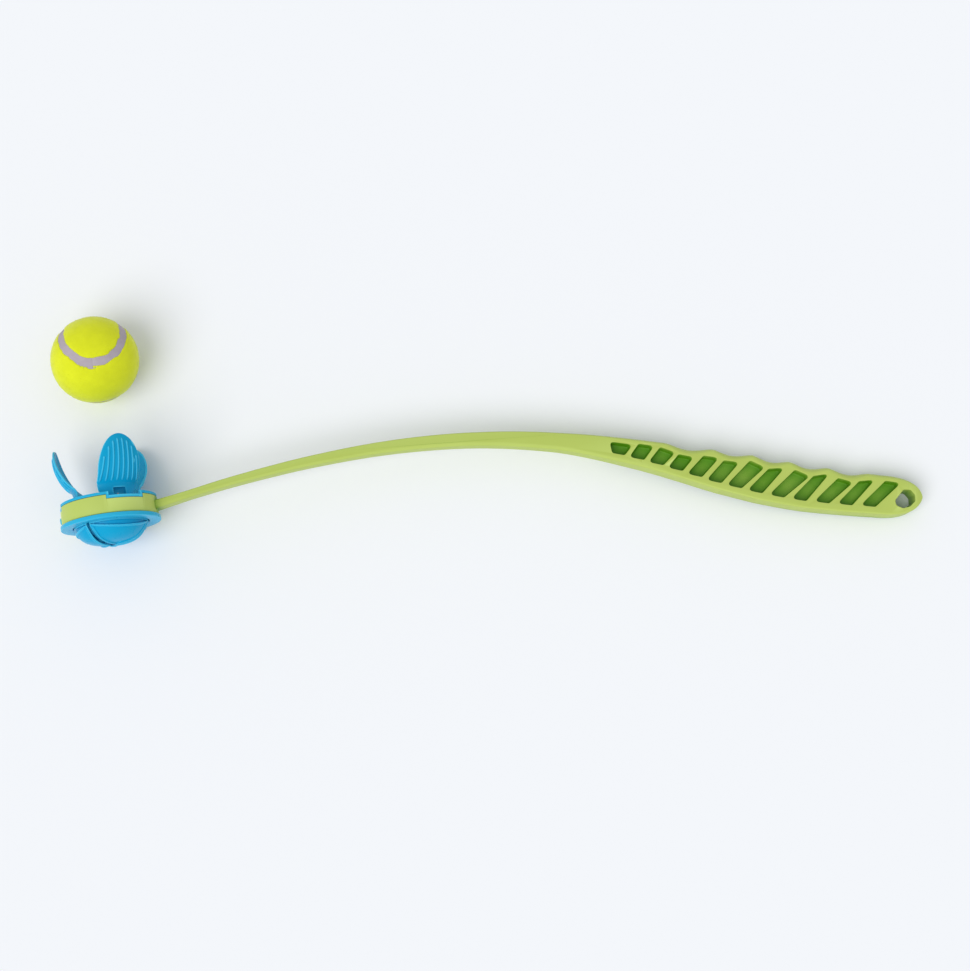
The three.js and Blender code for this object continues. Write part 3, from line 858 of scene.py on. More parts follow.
@dataclass
class RingSizes:
    """The head ring's sizes, in millimetres."""

    outer: float = 34.2
    wall: float = 2.6
    band_height: float = 13.0
    notch_width: float = 27.3
    notch_depth: float = 3.0
    lip: float = 2.0
    lip_width: float = 6.7
    dip_wall: float = 1.5
    flange_overhang: float = 1.24
    flange_width: float = 8.3
    flange: float = 2.9
    sleeve_wall: float = 2.0
    stud_radius: float = 2.4
    stud_stand: float = 1.2
    fit: float = 0.3
    steps: int = 144
    stations: dict[str, float] = field(
        default_factory=lambda: {"left_claw": 180.0, "front_claw": 60.0, "rear_claw": -60.0}
    )

    @property
    def band_top(self) -> float:
        """Height of the band's top face."""
        return -self.lip - self.fit

    @property
    def band_bottom(self) -> float:
        """Height of the band's bottom face."""
        return self.band_top - self.band_height

    @property
    def flange_top(self) -> float:
        """Height of the flange's top face."""
        return self.band_bottom - self.fit

    @property
    def flange_bottom(self) -> float:
        """Height of the flange's bottom face."""
        return self.flange_top - self.flange

    @property
    def lip_inner(self) -> float:
        """Inner radius of the lip."""
        return self.outer - self.lip_width

    @property
    def sleeve_outer(self) -> float:
        """Outer radius of the sleeve."""
        return self.outer - self.wall - self.fit

    @property
    def sleeve_inner(self) -> float:
        """Inner radius of the sleeve."""
        return self.sleeve_outer - self.sleeve_wall

    @property
    def stud_height(self) -> float:
        """Height of the stud's axis."""
        return (self.band_top + self.band_bottom - self.notch_depth) / 2

    def turned_to(self, degrees: float) -> Matrix:
        """Gives the turn to one claw's place."""
        return Matrix.Rotation(-math.radians(degrees), 4, "Y")


@dataclass
class GreenMoulding:
    """Ring band, stick and pocketed handle, moulded in one piece."""

    ring: RingSizes
    reach: float = 585.0
    stick_sink: float = 2.0
    width: float = 33.4
    thickness: float = 18.0
    wave: float = 2.8
    crown: float = 3.9
    rim_dip: float = 1.4
    first_pitch: float = 15.1
    last_pitch: float = 17.1
    pocket_length: float = 11.3
    pocket_top: float = 11.5
    pocket_rim: float = 1.3
    foot_rim: float = 5.0
    draft: float = 1.3
    corner: float = 2.5
    web: float = 2.6
    slants: tuple[float, float] = (66.0, 48.0)
    first_share: float = 0.605
    pockets: int = 13
    blunt: tuple[float, float] = (-0.5, -0.78)
    first_lower: float = 1.3
    rim_round: float = 0.45
    hole: tuple[float, float] = (15.5, 13.5)
    hole_share: float = 0.977
    hole_drop: float = 0.07
    crest_sharpness: float = 0.72
    round_from: float = 0.945
    round_reach: float = 0.0553
    round_power: float = 2.6
    crests: tuple[float, ...] = (0.66, 0.722, 0.774, 0.824, 0.876, 0.93)
    sections: tuple[tuple[float, ...], ...] = (
        (0, 0.215, 0.8, 0.3, 0.5),
        (0.04, 0.178, 0.76, 0.3, 0.4),
        (0.2, 0.235, 0.76, 0.3, 0.4),
        (0.42, 0.319, 0.8, 0.26, 0.45),
        (0.53, 0.401, 0.86, 0.2, 0.5),
        (0.585, 0.513, 0.93, 0.15, 0.6),
        (0.635, 0.622, 0.98, 0.11, 0.8),
        (0.69, 0.762, 1, 0.08, 1),
        (0.74, 0.915, 1, 0.07, 1),
        (0.79, 0.995, 1, 0.07, 1),
        (0.85, 1, 1, 0.07, 1),
        (0.945, 0.903, 1, 0.07, 1),
        (0.968, 0.823, 1, 0.08, 0.9),
        (0.982, 0.69, 0.99, 0.12, 0.8),
        (0.993, 0.46, 0.95, 0.2, 0.7),
        (1, 0.2, 0.86, 0.3, 0.6),
    )
    hole_shares: tuple[tuple[float, float], ...] = (
        (-0.5, -0.02),
        (0.02, 0.5),
        (0.34, 0.42),
        (0.5, 0.1),
        (0.46, -0.22),
        (0.16, -0.47),
        (-0.2, -0.5),
        (-0.48, -0.3),
    )

    def __post_init__(self) -> None:
        """Draws the centre line."""
        root = Vector(
            (self.ring.outer - self.stick_sink, (self.ring.band_top + self.ring.band_bottom) / 2)
        )
        self.line = HandleLine(root, self.reach - root.x)

    def dip(self, share: float) -> float:
        """Gives how deep between two finger crests a place is, from 0 to 1."""
        for before, after in zip(self.crests, self.crests[1:]):
            if before <= share < after:
                part = (share - before) / (after - before)
                return (0.5 - 0.5 * math.cos(2 * math.pi * part)) ** self.crest_sharpness
        return 0.0

    def section(self, share: float) -> Section:
        """Gives the cross-section's sizes at a share of the line."""
        width = between(self.sections, min(share, self.round_from), 1) * self.width
        if share > self.round_from:
            width *= math.sqrt(1 - ((share - self.round_from) / self.round_reach) ** self.round_power)
        thickness = between(self.sections, share, 2) * self.thickness
        corner = between(self.sections, share, 3) * min(width, thickness)
        crown = between(self.sections, share, 4) * self.crown + self.dip(share) * self.rim_dip
        edge = width / 2 - self.dip(share) * self.wave
        return Section(-width / 2, thickness, corner, crown, edge - crown)

    def outline(self, share: float) -> list[Vector]:
        """Draws one cross-section: a round crown over a square foot with rounded corners.

        Args:
            share: The place along the line.

        Returns:
            The section's points in the launcher's frame.
        """
        middle, _, across = self.line.at(share)
        s = self.section(share)
        half = s.thickness / 2
        flat = []
        for step in range(19):
            angle = math.pi * step / 18
            flat.append((s.rim + s.crown * math.sin(angle), -half * math.cos(angle)))
        for face in (1, -1):
            for step in range(6):
                angle = math.pi * (0.5 if face > 0 else 1) + face * step * math.pi / 10
                over, out = abs(math.cos(angle)), abs(math.sin(angle))
                flat.append((s.foot + s.corner * (1 - over), face * (half - s.corner * (1 - out))))
        return [Vector((*(middle + across * w), t)) for w, t in flat]

    def stick(self) -> bmesh.types.BMesh:
        """Sweeps the section along the line.

        Returns:
            The stick and handle as one closed skin.
        """
        shares = [0.6 * i / 40 for i in range(40)]
        shares += [0.6 + 0.35 * i / 140 for i in range(140)]
        shares += [0.95 + 0.05 * math.sin(math.pi / 2 * i / 26) for i in range(27)]
        rings = [self.outline(share) for share in shares]
        sides = len(rings[0])

        def place(around: float, along: float) -> Vector:
            """Gives a point of a section's outline."""
            return rings[round(along * (len(rings) - 1))][round(around * sides) % sides]

        return mapped_grid(sides, len(rings) - 1, place)

    def pocket(self, index: int, face: int) -> bmesh.types.BMesh:
        """Makes the cutter of one slanted pocket, with a rounded rim and a rounded foot.

        Args:
            index: Which pocket, from the stick on.
            face: 1 for the upper side face, -1 for the lower.

        Returns:
            The closed cutter.
        """
        part = index / (self.pockets - 1)
        mean = (self.first_pitch + self.last_pitch) / 2
        pitch = self.first_pitch + (mean - self.first_pitch) * part
        share = self.first_share + index * pitch / self.line.length
        slope = 1 / math.tan(math.radians(self.slants[0] + (self.slants[1] - self.slants[0]) * part))
        half = self.pocket_length / 2
        foot = self.section(share).foot + self.foot_rim

        def top(offset: float) -> float:
            """Gives how high a pocket may reach beside its middle."""
            return self.section(share + offset / self.line.length).rim - self.pocket_rim

        lean = top(0) * slope
        left, right = -half + foot * slope, half + foot * slope
        top_left, top_right = -half + lean, -half + lean + self.pocket_top
        lower = 0.0
        if index == 0:
            left, top_left = (value * self.pocket_length for value in self.blunt)
            lower = self.first_lower
        corners = [
            (left, foot),
            (right, foot),
            (top_right, top(top_right) - lower),
            (top_left, top(top_left) - lower),
        ]
        outline = [Vector(point) for point in rounded(corners, self.corner, 5)]
        centre = sum((Vector(point) for point in corners), Vector((0, 0))) / len(corners)
        middle, along, across = self.line.at(share)
        level = self.section(share).thickness / 2
        depth = level - self.web / 2
        layers = [(-self.rim_round * 1.2, level + 1)]
        for step in range(4):
            angle = math.pi / 2 * step / 3
            layers.append(
                (
                    -self.rim_round * (1 - math.sin(angle)),
                    level + 0.02 - self.rim_round * (1 - math.cos(angle)),
                )
            )
        for step in range(5):
            angle = math.pi / 2 * step / 4
            layers.append(
                (self.draft + 0.9 * (1 - math.cos(angle)) - 0.5, level - depth + 0.9 * (1 - math.sin(angle)))
            )

        def place(around: float, deep: float) -> Vector:
            """Gives a point of the cutter's wall."""
            point = outline[round(around * len(outline)) % len(outline)]
            inset, height = layers[round(deep * (len(layers) - 1))]
            spot = point - (point - centre).normalized() * inset
            flat = middle + along * spot.x + across * spot.y
            return Vector((flat.x, flat.y, face * height))

        return mapped_grid(len(outline), len(layers) - 1, place)

    def hanging_hole(self) -> bmesh.types.BMesh:
        """Makes the cutter of the rounded hanging hole, flared at both faces.

        Returns:
            The closed cutter.
        """
        middle, _, across = self.line.at(self.hole_share)
        centre = middle - across * self.hole_drop * self.width
        corners = [(x * self.hole[0], y * self.hole[1]) for x, y in self.hole_shares]
        outline = [Vector(point) for point in rounded(corners, 2.6, 5)]
        level = self.section(self.hole_share).thickness / 2
        layers = []
        for side in (-1, 1):
            rows = [(-self.rim_round * 1.2, level + 1)]
            for step in range(4):
                angle = math.pi / 2 * step / 3
                rows.append(
                    (
                        -self.rim_round * (1 - math.sin(angle)),
                        level + 0.02 - self.rim_round * (1 - math.cos(angle)),
                    )
                )
            rows = [(inset, side * height) for inset, height in rows]
            layers += rows if side < 0 else rows[::-1]

        def place(around: float, deep: float) -> Vector:
            """Gives a point of the cutter's wall."""
            point = outline[round(around * len(outline)) % len(outline)]
            inset, height = layers[round(deep * (len(layers) - 1))]
            spot = centre + point - point.normalized() * inset
            return Vector((spot.x, spot.y, height))

        return mapped_grid(len(outline), len(layers) - 1, place)

    def band(self) -> bmesh.types.BMesh:
        """Turns the ring band."""
        ring = self.ring
        inner = ring.outer - ring.wall
        profile = [
            (inner, ring.band_bottom),
            (ring.outer, ring.band_bottom),
            (ring.outer, ring.band_top),
            (inner, ring.band_top),
        ]
        return spun(rounded(profile, 0.4, 3), ring.steps)

    def build(self, make: Maker, places: LauncherFrame) -> None:
        """Builds the moulding.

        Args:
            make: Puts the piece into the scene.
            places: Where the launcher lies.
        """
        ring = self.ring
        body = combined(self.stick(), self.band(), Join.ADD)
        bore = spun(
            [
                (1, ring.band_bottom - 2),
                (ring.outer - ring.wall, ring.band_bottom - 2),
                (ring.outer - ring.wall, ring.band_top + 2),
                (1, ring.band_top + 2),
            ],
            ring.steps,
        )
        body = combined(body, bore, Join.CUT)
        half = ring.notch_width / 2
        notches = []
        for degrees in ring.stations.values():
            low = (ring.outer - 5, ring.band_top - ring.notch_depth, -half)
            block = box(low, (ring.outer + 2, ring.band_top + 2, half), 0.25)
            notches.append(moved(block, ring.turned_to(degrees)))
        body = combined(body, merged(notches), Join.CUT)
        stud = bar(ring.stud_radius + ring.fit, 5, 32)
        aim = Matrix.Translation((-ring.outer, ring.stud_height, 0)) @ Matrix.Rotation(math.pi / 2, 4, "Y")
        body = combined(body, moved(stud, aim), Join.CUT)
        cutters = [self.pocket(i, face) for i in range(self.pockets) for face in (1, -1)]
        body = combined(body, merged(cutters), Join.CUT)
        body = combined(body, self.hanging_hole(), Join.CUT)
        bmesh.ops.dissolve_limit(
            body, angle_limit=math.radians(0.5), verts=body.verts[:], edges=body.edges[:]
        )
        make.piece(
            "green_moulding_body",
            body,
            places.matrix,
            Body.LAUNCHER,
            Slot.GREEN,
            ["launcher_body"],
            30,
        )


# The blue ring parts


@dataclass
class RingFittings:
    """Claw carrier, top retainer and locking stud."""

    ring: RingSizes
    hub_width: float = 21.0
    lug: float = 3.0
    boss: float = 2.5
    lug_drop: float = 10.0
    pin_radius: float = 1.0
    pin_depth: float = 4.0
    pin_ring: float = 24.0

    @property
    def dip_underside(self) -> float:
        """Height of the underside of the lip's dips."""
        return -self.ring.notch_depth - self.ring.lip

    def lug_outline(self) -> list[tuple[float, float]]:
        """Draws a lug across its pin: a round boss that widens into the sleeve.

        Returns:
            The outline's points in X and Y.
        """
        ring = self.ring
        points = []
        for step in range(13):
            angle = math.radians(15 + 255 * step / 12)
            points.append(
                (
                    self.pin_ring + self.boss * math.cos(angle),
                    -self.pin_depth + self.boss * math.sin(angle),
                )
            )
        wall = ring.sleeve_inner + ring.sleeve_wall / 2
        top = self.dip_underside - ring.fit
        points += [
            (wall, -self.pin_depth - self.lug_drop),
            (wall, top),
            (ring.lip_inner - ring.fit, top),
        ]
        return points

    def carrier(self) -> bmesh.types.BMesh:
        """Turns flange and sleeve and adds the six lugs.

        Returns:
            The carrier's mesh.
        """
        ring = self.ring
        flange = ring.outer + ring.flange_overhang
        inner = flange - ring.flange_width
        top = self.dip_underside - ring.fit
        profile = [
            (inner, ring.flange_bottom),
            (flange, ring.flange_bottom),
            (flange, ring.flange_top),
            (ring.sleeve_outer, ring.flange_top),
            (ring.sleeve_outer, top),
            (ring.sleeve_inner, top),
            (ring.sleeve_inner, ring.flange_top),
            (inner, ring.flange_top),
        ]
        body = spun(rounded(profile, 0.45, 3), ring.steps)
        reach = ring.sleeve_inner + ring.sleeve_wall / 2
        room = spun([(1, -20), (reach, -20), (reach, 0), (1, 0)], ring.steps)
        lugs = []
        for degrees in ring.stations.values():
            for side in (1, -1):
                near = self.hub_width / 2 + ring.fit
                ends = sorted((side * near, side * (near + self.lug)))
                lug = slab(self.lug_outline(), *ends)
                lugs.append(moved(lug, ring.turned_to(degrees)))
        cut = combined(merged(lugs), room, Join.KEEP)
        body = combined(body, cut, Join.ADD)
        bores = []
        for degrees in ring.stations.values():
            bore = bar(self.pin_radius + ring.fit, self.hub_width / 2 + self.lug + 2, 24)
            put = Matrix.Translation((self.pin_ring, -self.pin_depth, 0))
            bores.append(moved(bore, ring.turned_to(degrees) @ put))
        return combined(body, merged(bores), Join.CUT)

    def retainer(self) -> bmesh.types.BMesh:
        """Turns the lip and dips it into the band's notches.

        Returns:
            The retainer's mesh.
        """
        ring = self.ring
        under = self.dip_underside
        plate = [(ring.lip_inner, -ring.lip), (ring.outer, -ring.lip), (ring.outer, 0), (ring.lip_inner, 0)]
        skirt = [
            (ring.sleeve_inner, under),
            (ring.sleeve_outer, under),
            (ring.sleeve_outer, -ring.lip / 2),
            (ring.sleeve_inner, -ring.lip / 2),
        ]
        deep = [(ring.lip_inner, under), (ring.outer, under), (ring.outer, 0), (ring.lip_inner, 0)]
        width = ring.notch_width - 2 * ring.fit
        far = ring.outer + 2
        body = combined(spun(rounded(plate, 0.5, 4), ring.steps), spun(skirt, ring.steps), Join.ADD)
        dips, hollows, rooms = [], [], []
        clear = self.hub_width / 2 + self.lug + 2 * ring.fit
        inner = width / 2 - ring.dip_wall
        for degrees in ring.stations.values():
            turn = ring.turned_to(degrees)
            dips.append(moved(box((5, under - 2, -width / 2), (far, 2, width / 2)), turn))
            hollows.append(moved(box((5, -ring.notch_depth, -inner), (far, 2, inner), 0.3), turn))
            rooms.append(
                moved(box((5, under - 2, -clear), (ring.lip_inner + ring.fit, 2, clear)), turn)
            )
        steps = combined(spun(rounded(deep, 0.5, 4), ring.steps), merged(dips), Join.KEEP)
        body = combined(body, steps, Join.ADD)
        body = combined(body, merged(hollows), Join.CUT)
        for room in rooms:
            body = combined(body, room, Join.CUT)
        return body

    def stud(self) -> bmesh.types.BMesh:
        """Makes the round locking stud with a softened head."""
        ring = self.ring
        inner = ring.sleeve_outer + ring.fit
        outer = ring.outer + ring.stud_stand
        pin = bar(ring.stud_radius, (outer - inner) / 2, 40, 0.5)
        aim = Matrix.Translation((-(outer + inner) / 2, ring.stud_height, 0))
        return moved(pin, aim @ Matrix.Rotation(math.pi / 2, 4, "Y"))

    def build(self, make: Maker, places: LauncherFrame) -> None:
        """Builds the three parts.

        Args:
            make: Puts the pieces into the scene.
            places: Where the launcher lies.
        """
        for name, mesh, node in (
            ("claw_carrier_ring", self.carrier(), "claw_carrier"),
            ("top_retainer_lip", self.retainer(), "top_retainer"),
            ("locking_stud_head", self.stud(), "locking_stud"),
        ):
            make.piece(name, mesh, places.matrix, Body.LAUNCHER, Slot.BLUE, [node], 30)


# Claws


@dataclass
class ClawRow:
    """One row of a claw's wall, from the finger's tip down to the petal's tip."""

    outer: tuple[float, float]
    inner: tuple[float, float]
    half: float
    edge: float = 0.0


@dataclass
class Claw:
    """A claw: a ribbed finger, its hinge barrel with the spring's recess, and the petal below."""

    ring: RingSizes
    ball_radius: float = 32.0
    play: float = 1.9
    seat: float = 1.0
    wall: float = 1.5
    reach: float = 41.0
    finger: float = 30.0
    shank_top: float = 8.0
    shank: float = 2.4
    pin_ring: float = 24.0
    pin_depth: float = 4.0
    hub_radius: float = 2.9
    hub_width: float = 21.0
    hub_ease: float = 0.11
    recess: float = 9.2
    recess_rise: float = 8.4
    window_top: float = 0.3
    pocket_floor: float = 20.4
    backing: tuple[tuple[float, ...], tuple[float, ...]] = ((19.1, 0.45, -5.7), (22.6, 5.4, 5.7))
    ribs: int = 8
    rib_pitch: float = 3.9
    rib_width: float = 1.3
    rib_height: float = 0.75
    rib_foot: float = 9.0
    rib_margin: float = 3.5
    petal_radius: float = 26.4
    petal_drop: float = 14.7
    petal_slack: float = 0.4
    swing: float = math.radians(5)
    lobe: float = 0.12
    egg_from: float = 0.45
    egg_power: float = 1.75
    border: float = 1.4
    border_height: float = 1.0
    edge_sag: float = 3.4
    edge_step: float = 1.7
    tongue_inset: float = 3.6
    tongue_wall: float = 0.8
    tongue_degrees: tuple[float, float] = (3.0, 80.0)
    round_share: float = 0.62
    lean_share: float = 0.86
    finger_shares: tuple[tuple[float, float], ...] = (
        (0.93, 0.03),
        (0.97, 0.2),
        (1, 0.45),
        (0.97, 0.68),
        (0.83, 0.86),
        (0.48, 0.975),
        (0, 1),
    )

    @property
    def cup_centre(self) -> float:
        """Height of the ball's middle when it is held."""
        return self.ball_radius + self.seat

    @property
    def cup_radius(self) -> float:
        """Inner radius of the fingers' cup."""
        return self.ball_radius + self.play

    def half_width(self, height: float) -> float:
        """Gives the finger's half width at a height."""
        part = height / self.reach
        if part <= self.egg_from:
            table = [(h, w) for w, h in self.finger_shares]
            return between(table, part, 1) * self.finger / 2
        rest = min((part - self.egg_from) / (1 - self.egg_from), 1)
        return self.finger / 2 * max(1 - rest**self.egg_power, 0) ** 0.5

    def petal_half(self, radius: float, height: float) -> float:
        """Gives the petal's half angle at a place of its dome."""
        back = self.petal_slack + math.sin(math.pi / 3) * self.swing * (-self.pin_depth - height)
        apex = back / math.sin(math.pi / 3)
        lobed = radius * (1 - self.lobe * 0.6)
        share = min(apex * math.sqrt(3) / 2 / max(lobed, apex), 1)
        return max(math.acos(share) - math.pi / 6, 0)

    def rows(self) -> list[ClawRow]:
        """Lists the wall's rows.

        Returns:
            The rows from the finger's tip to the petal's tip.
        """
        rows = []
        count = 34
        for i in range(count + 1):
            height = self.shank_top + 1 + (self.reach - self.shank_top - 1) * math.cos(math.pi / 2 * i / count)
            angle = math.asin((height - self.cup_centre) / (self.cup_radius + self.wall / 2))
            spots = []
            for radius in (self.cup_radius + self.wall, self.cup_radius):
                spots.append(
                    (radius * math.cos(angle), self.cup_centre + radius * math.sin(angle))
                )
            wide = self.half_width(height)
            middle = (spots[0][0] + spots[1][0]) / 2
            rows.append(ClawRow(spots[0], spots[1], math.asin(min(wide / middle, 1))))
        waist = rows[-1]
        out = self.pin_ring + self.shank / 2
        for i in range(1, 9):
            t = i / 8
            spots = []
            for start, foot, knee in (
                (waist.outer, (out, -self.pin_depth), (23.0, 5.9)),
                (waist.inner, (out - self.shank, -self.pin_depth), (21.6, 6.6)),
            ):
                spots.append(
                    tuple(
                        a * (1 - t) ** 2 + b * 2 * t * (1 - t) + c * t**2
                        for a, b, c in zip(start, knee, foot)
                    )
                )
            height = (spots[0][1] + spots[1][1]) / 2
            wide = self.half_width(max(height, 1.3)) if height > 0.8 else self.hub_width / 2
            rows.append(ClawRow(spots[0], spots[1], math.asin(wide / spots[0][0])))
        top = self.ring.flange_bottom
        for height, edge in ((-7.6, 0), (-8.2, 0), (-12, 0), (-16, 0), (top - 0.6, 0), (top - 0.7, 1)):
            part = (height + self.pin_depth) / (top + self.pin_depth)
            outer = out + (self.petal_radius - out) * min(part, 1)
            inner = outer - self.shank + 0.9 * min(part, 1)
            half = self.hub_width / 2 / outer if height > -8 else self.petal_half(outer, height)
            rows.append(ClawRow((outer, height), (inner, height), half, edge))
        count = 56
        for i in range(1, count + 1):
            angle = 0.97 * math.pi / 2 * (i / count)
            spots = []
            for inset in (0.0, self.wall):
                radius = (self.petal_radius - inset) * math.cos(angle) ** 0.75
                spots.append((radius, top - 0.7 - (self.petal_drop - 0.7 - inset) * math.sin(angle)))
            edge = 1.0
            rows.append(ClawRow(spots[0], spots[1], self.petal_half(*spots[0]), edge))
            if rows[-1].half <= 0:
                break
        return rows

    def leaf(self) -> bmesh.types.BMesh:
        """Skins the rows: outer face, rounded edge, inner face.

        Returns:
            The closed wall of finger, shank and petal.
        """
        rows = self.rows()
        across, turn = 44, 4
        loop: list[tuple[float, float]] = []
        for i in range(across + 1):
            loop.append((-math.cos(math.pi * i / across), 0.0))
        for i in range(1, turn):
            loop.append((1.0, i / turn))
        for i in range(across + 1):
            loop.append((math.cos(math.pi * i / across), 1.0))
        for i in range(1, turn):
            loop.append((-1.0, 1 - i / turn))
        top = self.ring.flange_bottom

        def place(around: float, along: float) -> Vector:
            """Gives a point of the wall's skin."""
            index = round(along * (len(rows) - 1))
            row = rows[index]
            side, depth = loop[round(around * len(loop)) % len(loop)]
            radius = row.outer[0] + (row.inner[0] - row.outer[0]) * depth
            height = row.outer[1] + (row.inner[1] - row.outer[1]) * depth
            bulge = math.sin(math.pi * depth) * 0.35 if 0 < depth < 1 else -0.35
            arc = row.half * row.outer[0]
            spread = max(arc + bulge, 0) / max(arc, 1e-6) if arc > 0.4 else 1.0
            angle = row.half * side * spread
            if index == 0:
                angle, radius = 0.0, (row.outer[0] + row.inner[0]) / 2
                height = (row.outer[1] + row.inner[1]) / 2
            if row.edge:
                rim_top = top - 0.9 - self.edge_sag * math.cos(side * math.pi / 2)
                from_side = arc * (1 - abs(side))
                from_top = rim_top - row.outer[1]
                near = min(from_side, from_top)
                field_share = min(max((near - self.border) / 0.5, 0), 1)
                if from_top < 0:
                    radius -= self.edge_step * min(-from_top / 0.35, 1)
                elif depth == 0:
                    slope = min((top - row.outer[1]) / self.petal_drop, 1)
                    radius -= self.border_height * field_share * (1 - slope**2)
                    height += self.border_height * field_share * slope
            spot = Vector((radius * math.cos(angle), height, radius * math.sin(angle)))
            deep = min(max((self.ring.flange_bottom - height) / self.petal_drop, 0), 1)
            draw = 1 - self.lobe * min(abs(angle) / (math.pi / 3), 1) ** 2 * min(2 * deep, 1)
            spot.x *= draw
            spot.z *= draw
            return spot

        return mapped_grid(len(loop), len(rows) - 1, place)

    def rib(self, index: int) -> bmesh.types.BMesh:
        """Makes one rounded rib that tapers off at both ends.

        Args:
            index: Which rib, across the finger.

        Returns:
            The rib's closed mesh.
        """
        spot = (index - (self.ribs - 1) / 2) * self.rib_pitch
        side = 2 * abs(spot) / self.finger
        top = self.reach * math.sqrt(1 - self.round_share * side**2) - self.rib_margin
        lean = self.lean_share * spot
        outer = self.cup_radius + self.wall

        def place(around: float, along: float) -> Vector:
            """Gives a point of the rib's skin."""
            height = self.rib_foot + (top - self.rib_foot) * along
            z = spot + (lean - spot) * along
            fade = min(min(along, 1 - along) / 0.06, 1) ** 0.5 * 0.98 + 0.02
            angle = 2 * math.pi * around
            z += math.cos(angle) * self.rib_width / 2 * (0.35 + 0.65 * fade)
            reach = outer + math.sin(angle) * self.rib_height * fade
            flat = reach**2 - (height - self.cup_centre) ** 2 - z**2
            return Vector((math.sqrt(flat), height, z))

        return mapped_grid(14, 30, place)

    def tongue(self) -> bmesh.types.BMesh:
        """Makes the tongue that closes the slit to the next petal from inside.

        Returns:
            The tongue's closed mesh, rooted in the petal's wall.
        """
        top = self.ring.flange_bottom
        inner, floor = self.tongue_inset, self.tongue_inset + self.tongue_wall

        def place(around: float, along: float) -> Vector:
            """Gives a point of the tongue's skin."""
            low, high = self.tongue_degrees
            angle = math.radians(low + (high - low) * along)
            radius = self.petal_radius * math.cos(angle) ** 0.75
            half = self.petal_half(radius, top - self.petal_drop * math.sin(angle))
            slit = 2 * (math.pi / 3 - half) * radius + 1.0
            loop = [(-2.7, 1.2), (-0.7, 1.2), (-0.7, inner), (slit, inner), (slit, floor), (-2.7, floor)]
            over, inset = loop[round(around * len(loop)) % len(loop)]
            radius = (self.petal_radius - inset) * math.cos(angle) ** 0.75
            height = top - (self.petal_drop - inset) * math.sin(angle)
            turn = half + over / max(radius, 1)
            deep = min(max((top - height) / self.petal_drop, 0), 1)
            draw = 1 - self.lobe * min(min(turn, half) / (math.pi / 3), 1) ** 2 * min(2 * deep, 1)
            return Vector((radius * math.cos(turn) * draw, height, radius * math.sin(turn) * draw))

        return mapped_grid(6, 30, place)

    def mesh(self) -> bmesh.types.BMesh:
        """Joins wall, ribs, tongue and barrel, and cuts the recess and the bore.

        Returns:
            The claw in its station's frame.
        """
        body = combined(self.leaf(), merged([self.rib(i) for i in range(self.ribs)]), Join.ADD)
        body = combined(body, self.tongue(), Join.ADD)
        put = Matrix.Translation((self.pin_ring, -self.pin_depth, 0))
        barrel = moved(bar(self.hub_radius, self.hub_width / 2 - self.hub_ease, 38, 0.4), put)
        body = combined(body, barrel, Join.ADD)
        low, high = self.backing
        body = combined(body, box(low, high, 0.6), Join.ADD)
        foot = -self.pin_depth - self.hub_radius - self.ring.fit
        low = (self.pin_ring - 3 * self.hub_radius, foot, -self.recess / 2)
        high = (self.pin_ring + 3 * self.hub_radius, self.window_top, self.recess / 2)
        body = combined(body, box(low, high, 0.5), Join.CUT)
        low = (self.pocket_floor, self.window_top - 1, -self.recess / 2)
        high = (high[0], self.recess_rise - self.pin_depth, self.recess / 2)
        body = combined(body, box(low, high, 0.5), Join.CUT)
        bore = moved(bar(1.3, self.hub_width, 24), put)
        return combined(body, bore, Join.CUT)

    def build(self, make: Maker, places: LauncherFrame) -> None:
        """Builds the three claws.

        Args:
            make: Puts the pieces into the scene.
            places: Where the launcher lies.
        """
        one = self.mesh()
        bodies = {"left_claw": Body.LEFT, "front_claw": Body.FRONT, "rear_claw": Body.REAR}
        for name, degrees in self.ring.stations.items():
            make.piece(
                name + "_shell",
                one.copy(),
                places.station(degrees),
                bodies[name],
                Slot.BLUE,
                [name],
                34,
            )
        one.free()


@dataclass
class HingeHardware:
    """Steel pins and torsion springs of the three hinges."""

    ring: RingSizes
    pin_radius: float = 1.0
    pin_half: float = 13.5
    pin_ring: float = 24.0
    pin_depth: float = 4.0
    wire: float = 0.9
    pitch: float = 1.4
    turns: float = 3.75
    leg: float = 3.6

    def path(self) -> list[Vector]:
        """Draws the spring's wire: a leg on the lip's dip, the curls, a leg up to the finger.

        Returns:
            The points of the wire's middle line.
        """
        fit = self.ring.fit
        radius = self.pin_radius + fit + self.wire / 2 + fit / 2
        x, y = self.pin_ring, -self.pin_depth
        width = self.pitch * (self.turns + 0.25)
        start = Vector((x + radius, y + radius, -width / 2))
        points = [start + Vector((3 * self.wire * (1 - i / 4), 0, 0)) for i in range(4)]
        steps = round(24 * self.turns)
        for step in range(steps + 1):
            share = step / steps
            angle = math.pi / 2 + 2 * math.pi * self.turns * share
            spread = radius if step else radius
            points.append(
                Vector(
                    (
                        x + spread * math.cos(angle),
                        y + spread * math.sin(angle),
                        -width / 2 + self.pitch * self.turns * share,
                    )
                )
            )
        points = points[:3] + points[4:]
        last = points[-1]
        end = Vector((last.x, y + self.leg, last.z))
        points += [last.lerp(end, i / 6) for i in range(1, 7)]
        return points

    def build(self, make: Maker, places: LauncherFrame) -> None:
        """Builds pins and springs.

        Args:
            make: Puts the pieces into the scene.
            places: Where the launcher lies.
        """
        for name, degrees in self.ring.stations.items():
            at = places.station(degrees)
            pin = bar(self.pin_radius, self.pin_half, 28, 0.2)
            put = Matrix.Translation((self.pin_ring, -self.pin_depth, 0))
            make.piece(
                name + "_steel_pin", moved(pin, put), at, Body.LAUNCHER, Slot.STEEL, [name + "_pin"]
            )
            spring = tube(self.path(), self.wire / 2, 12)
            make.piece(
                name + "_torsion_spring", spring, at, Body.LAUNCHER, Slot.STEEL, [name + "_spring"]
            )


# Ball


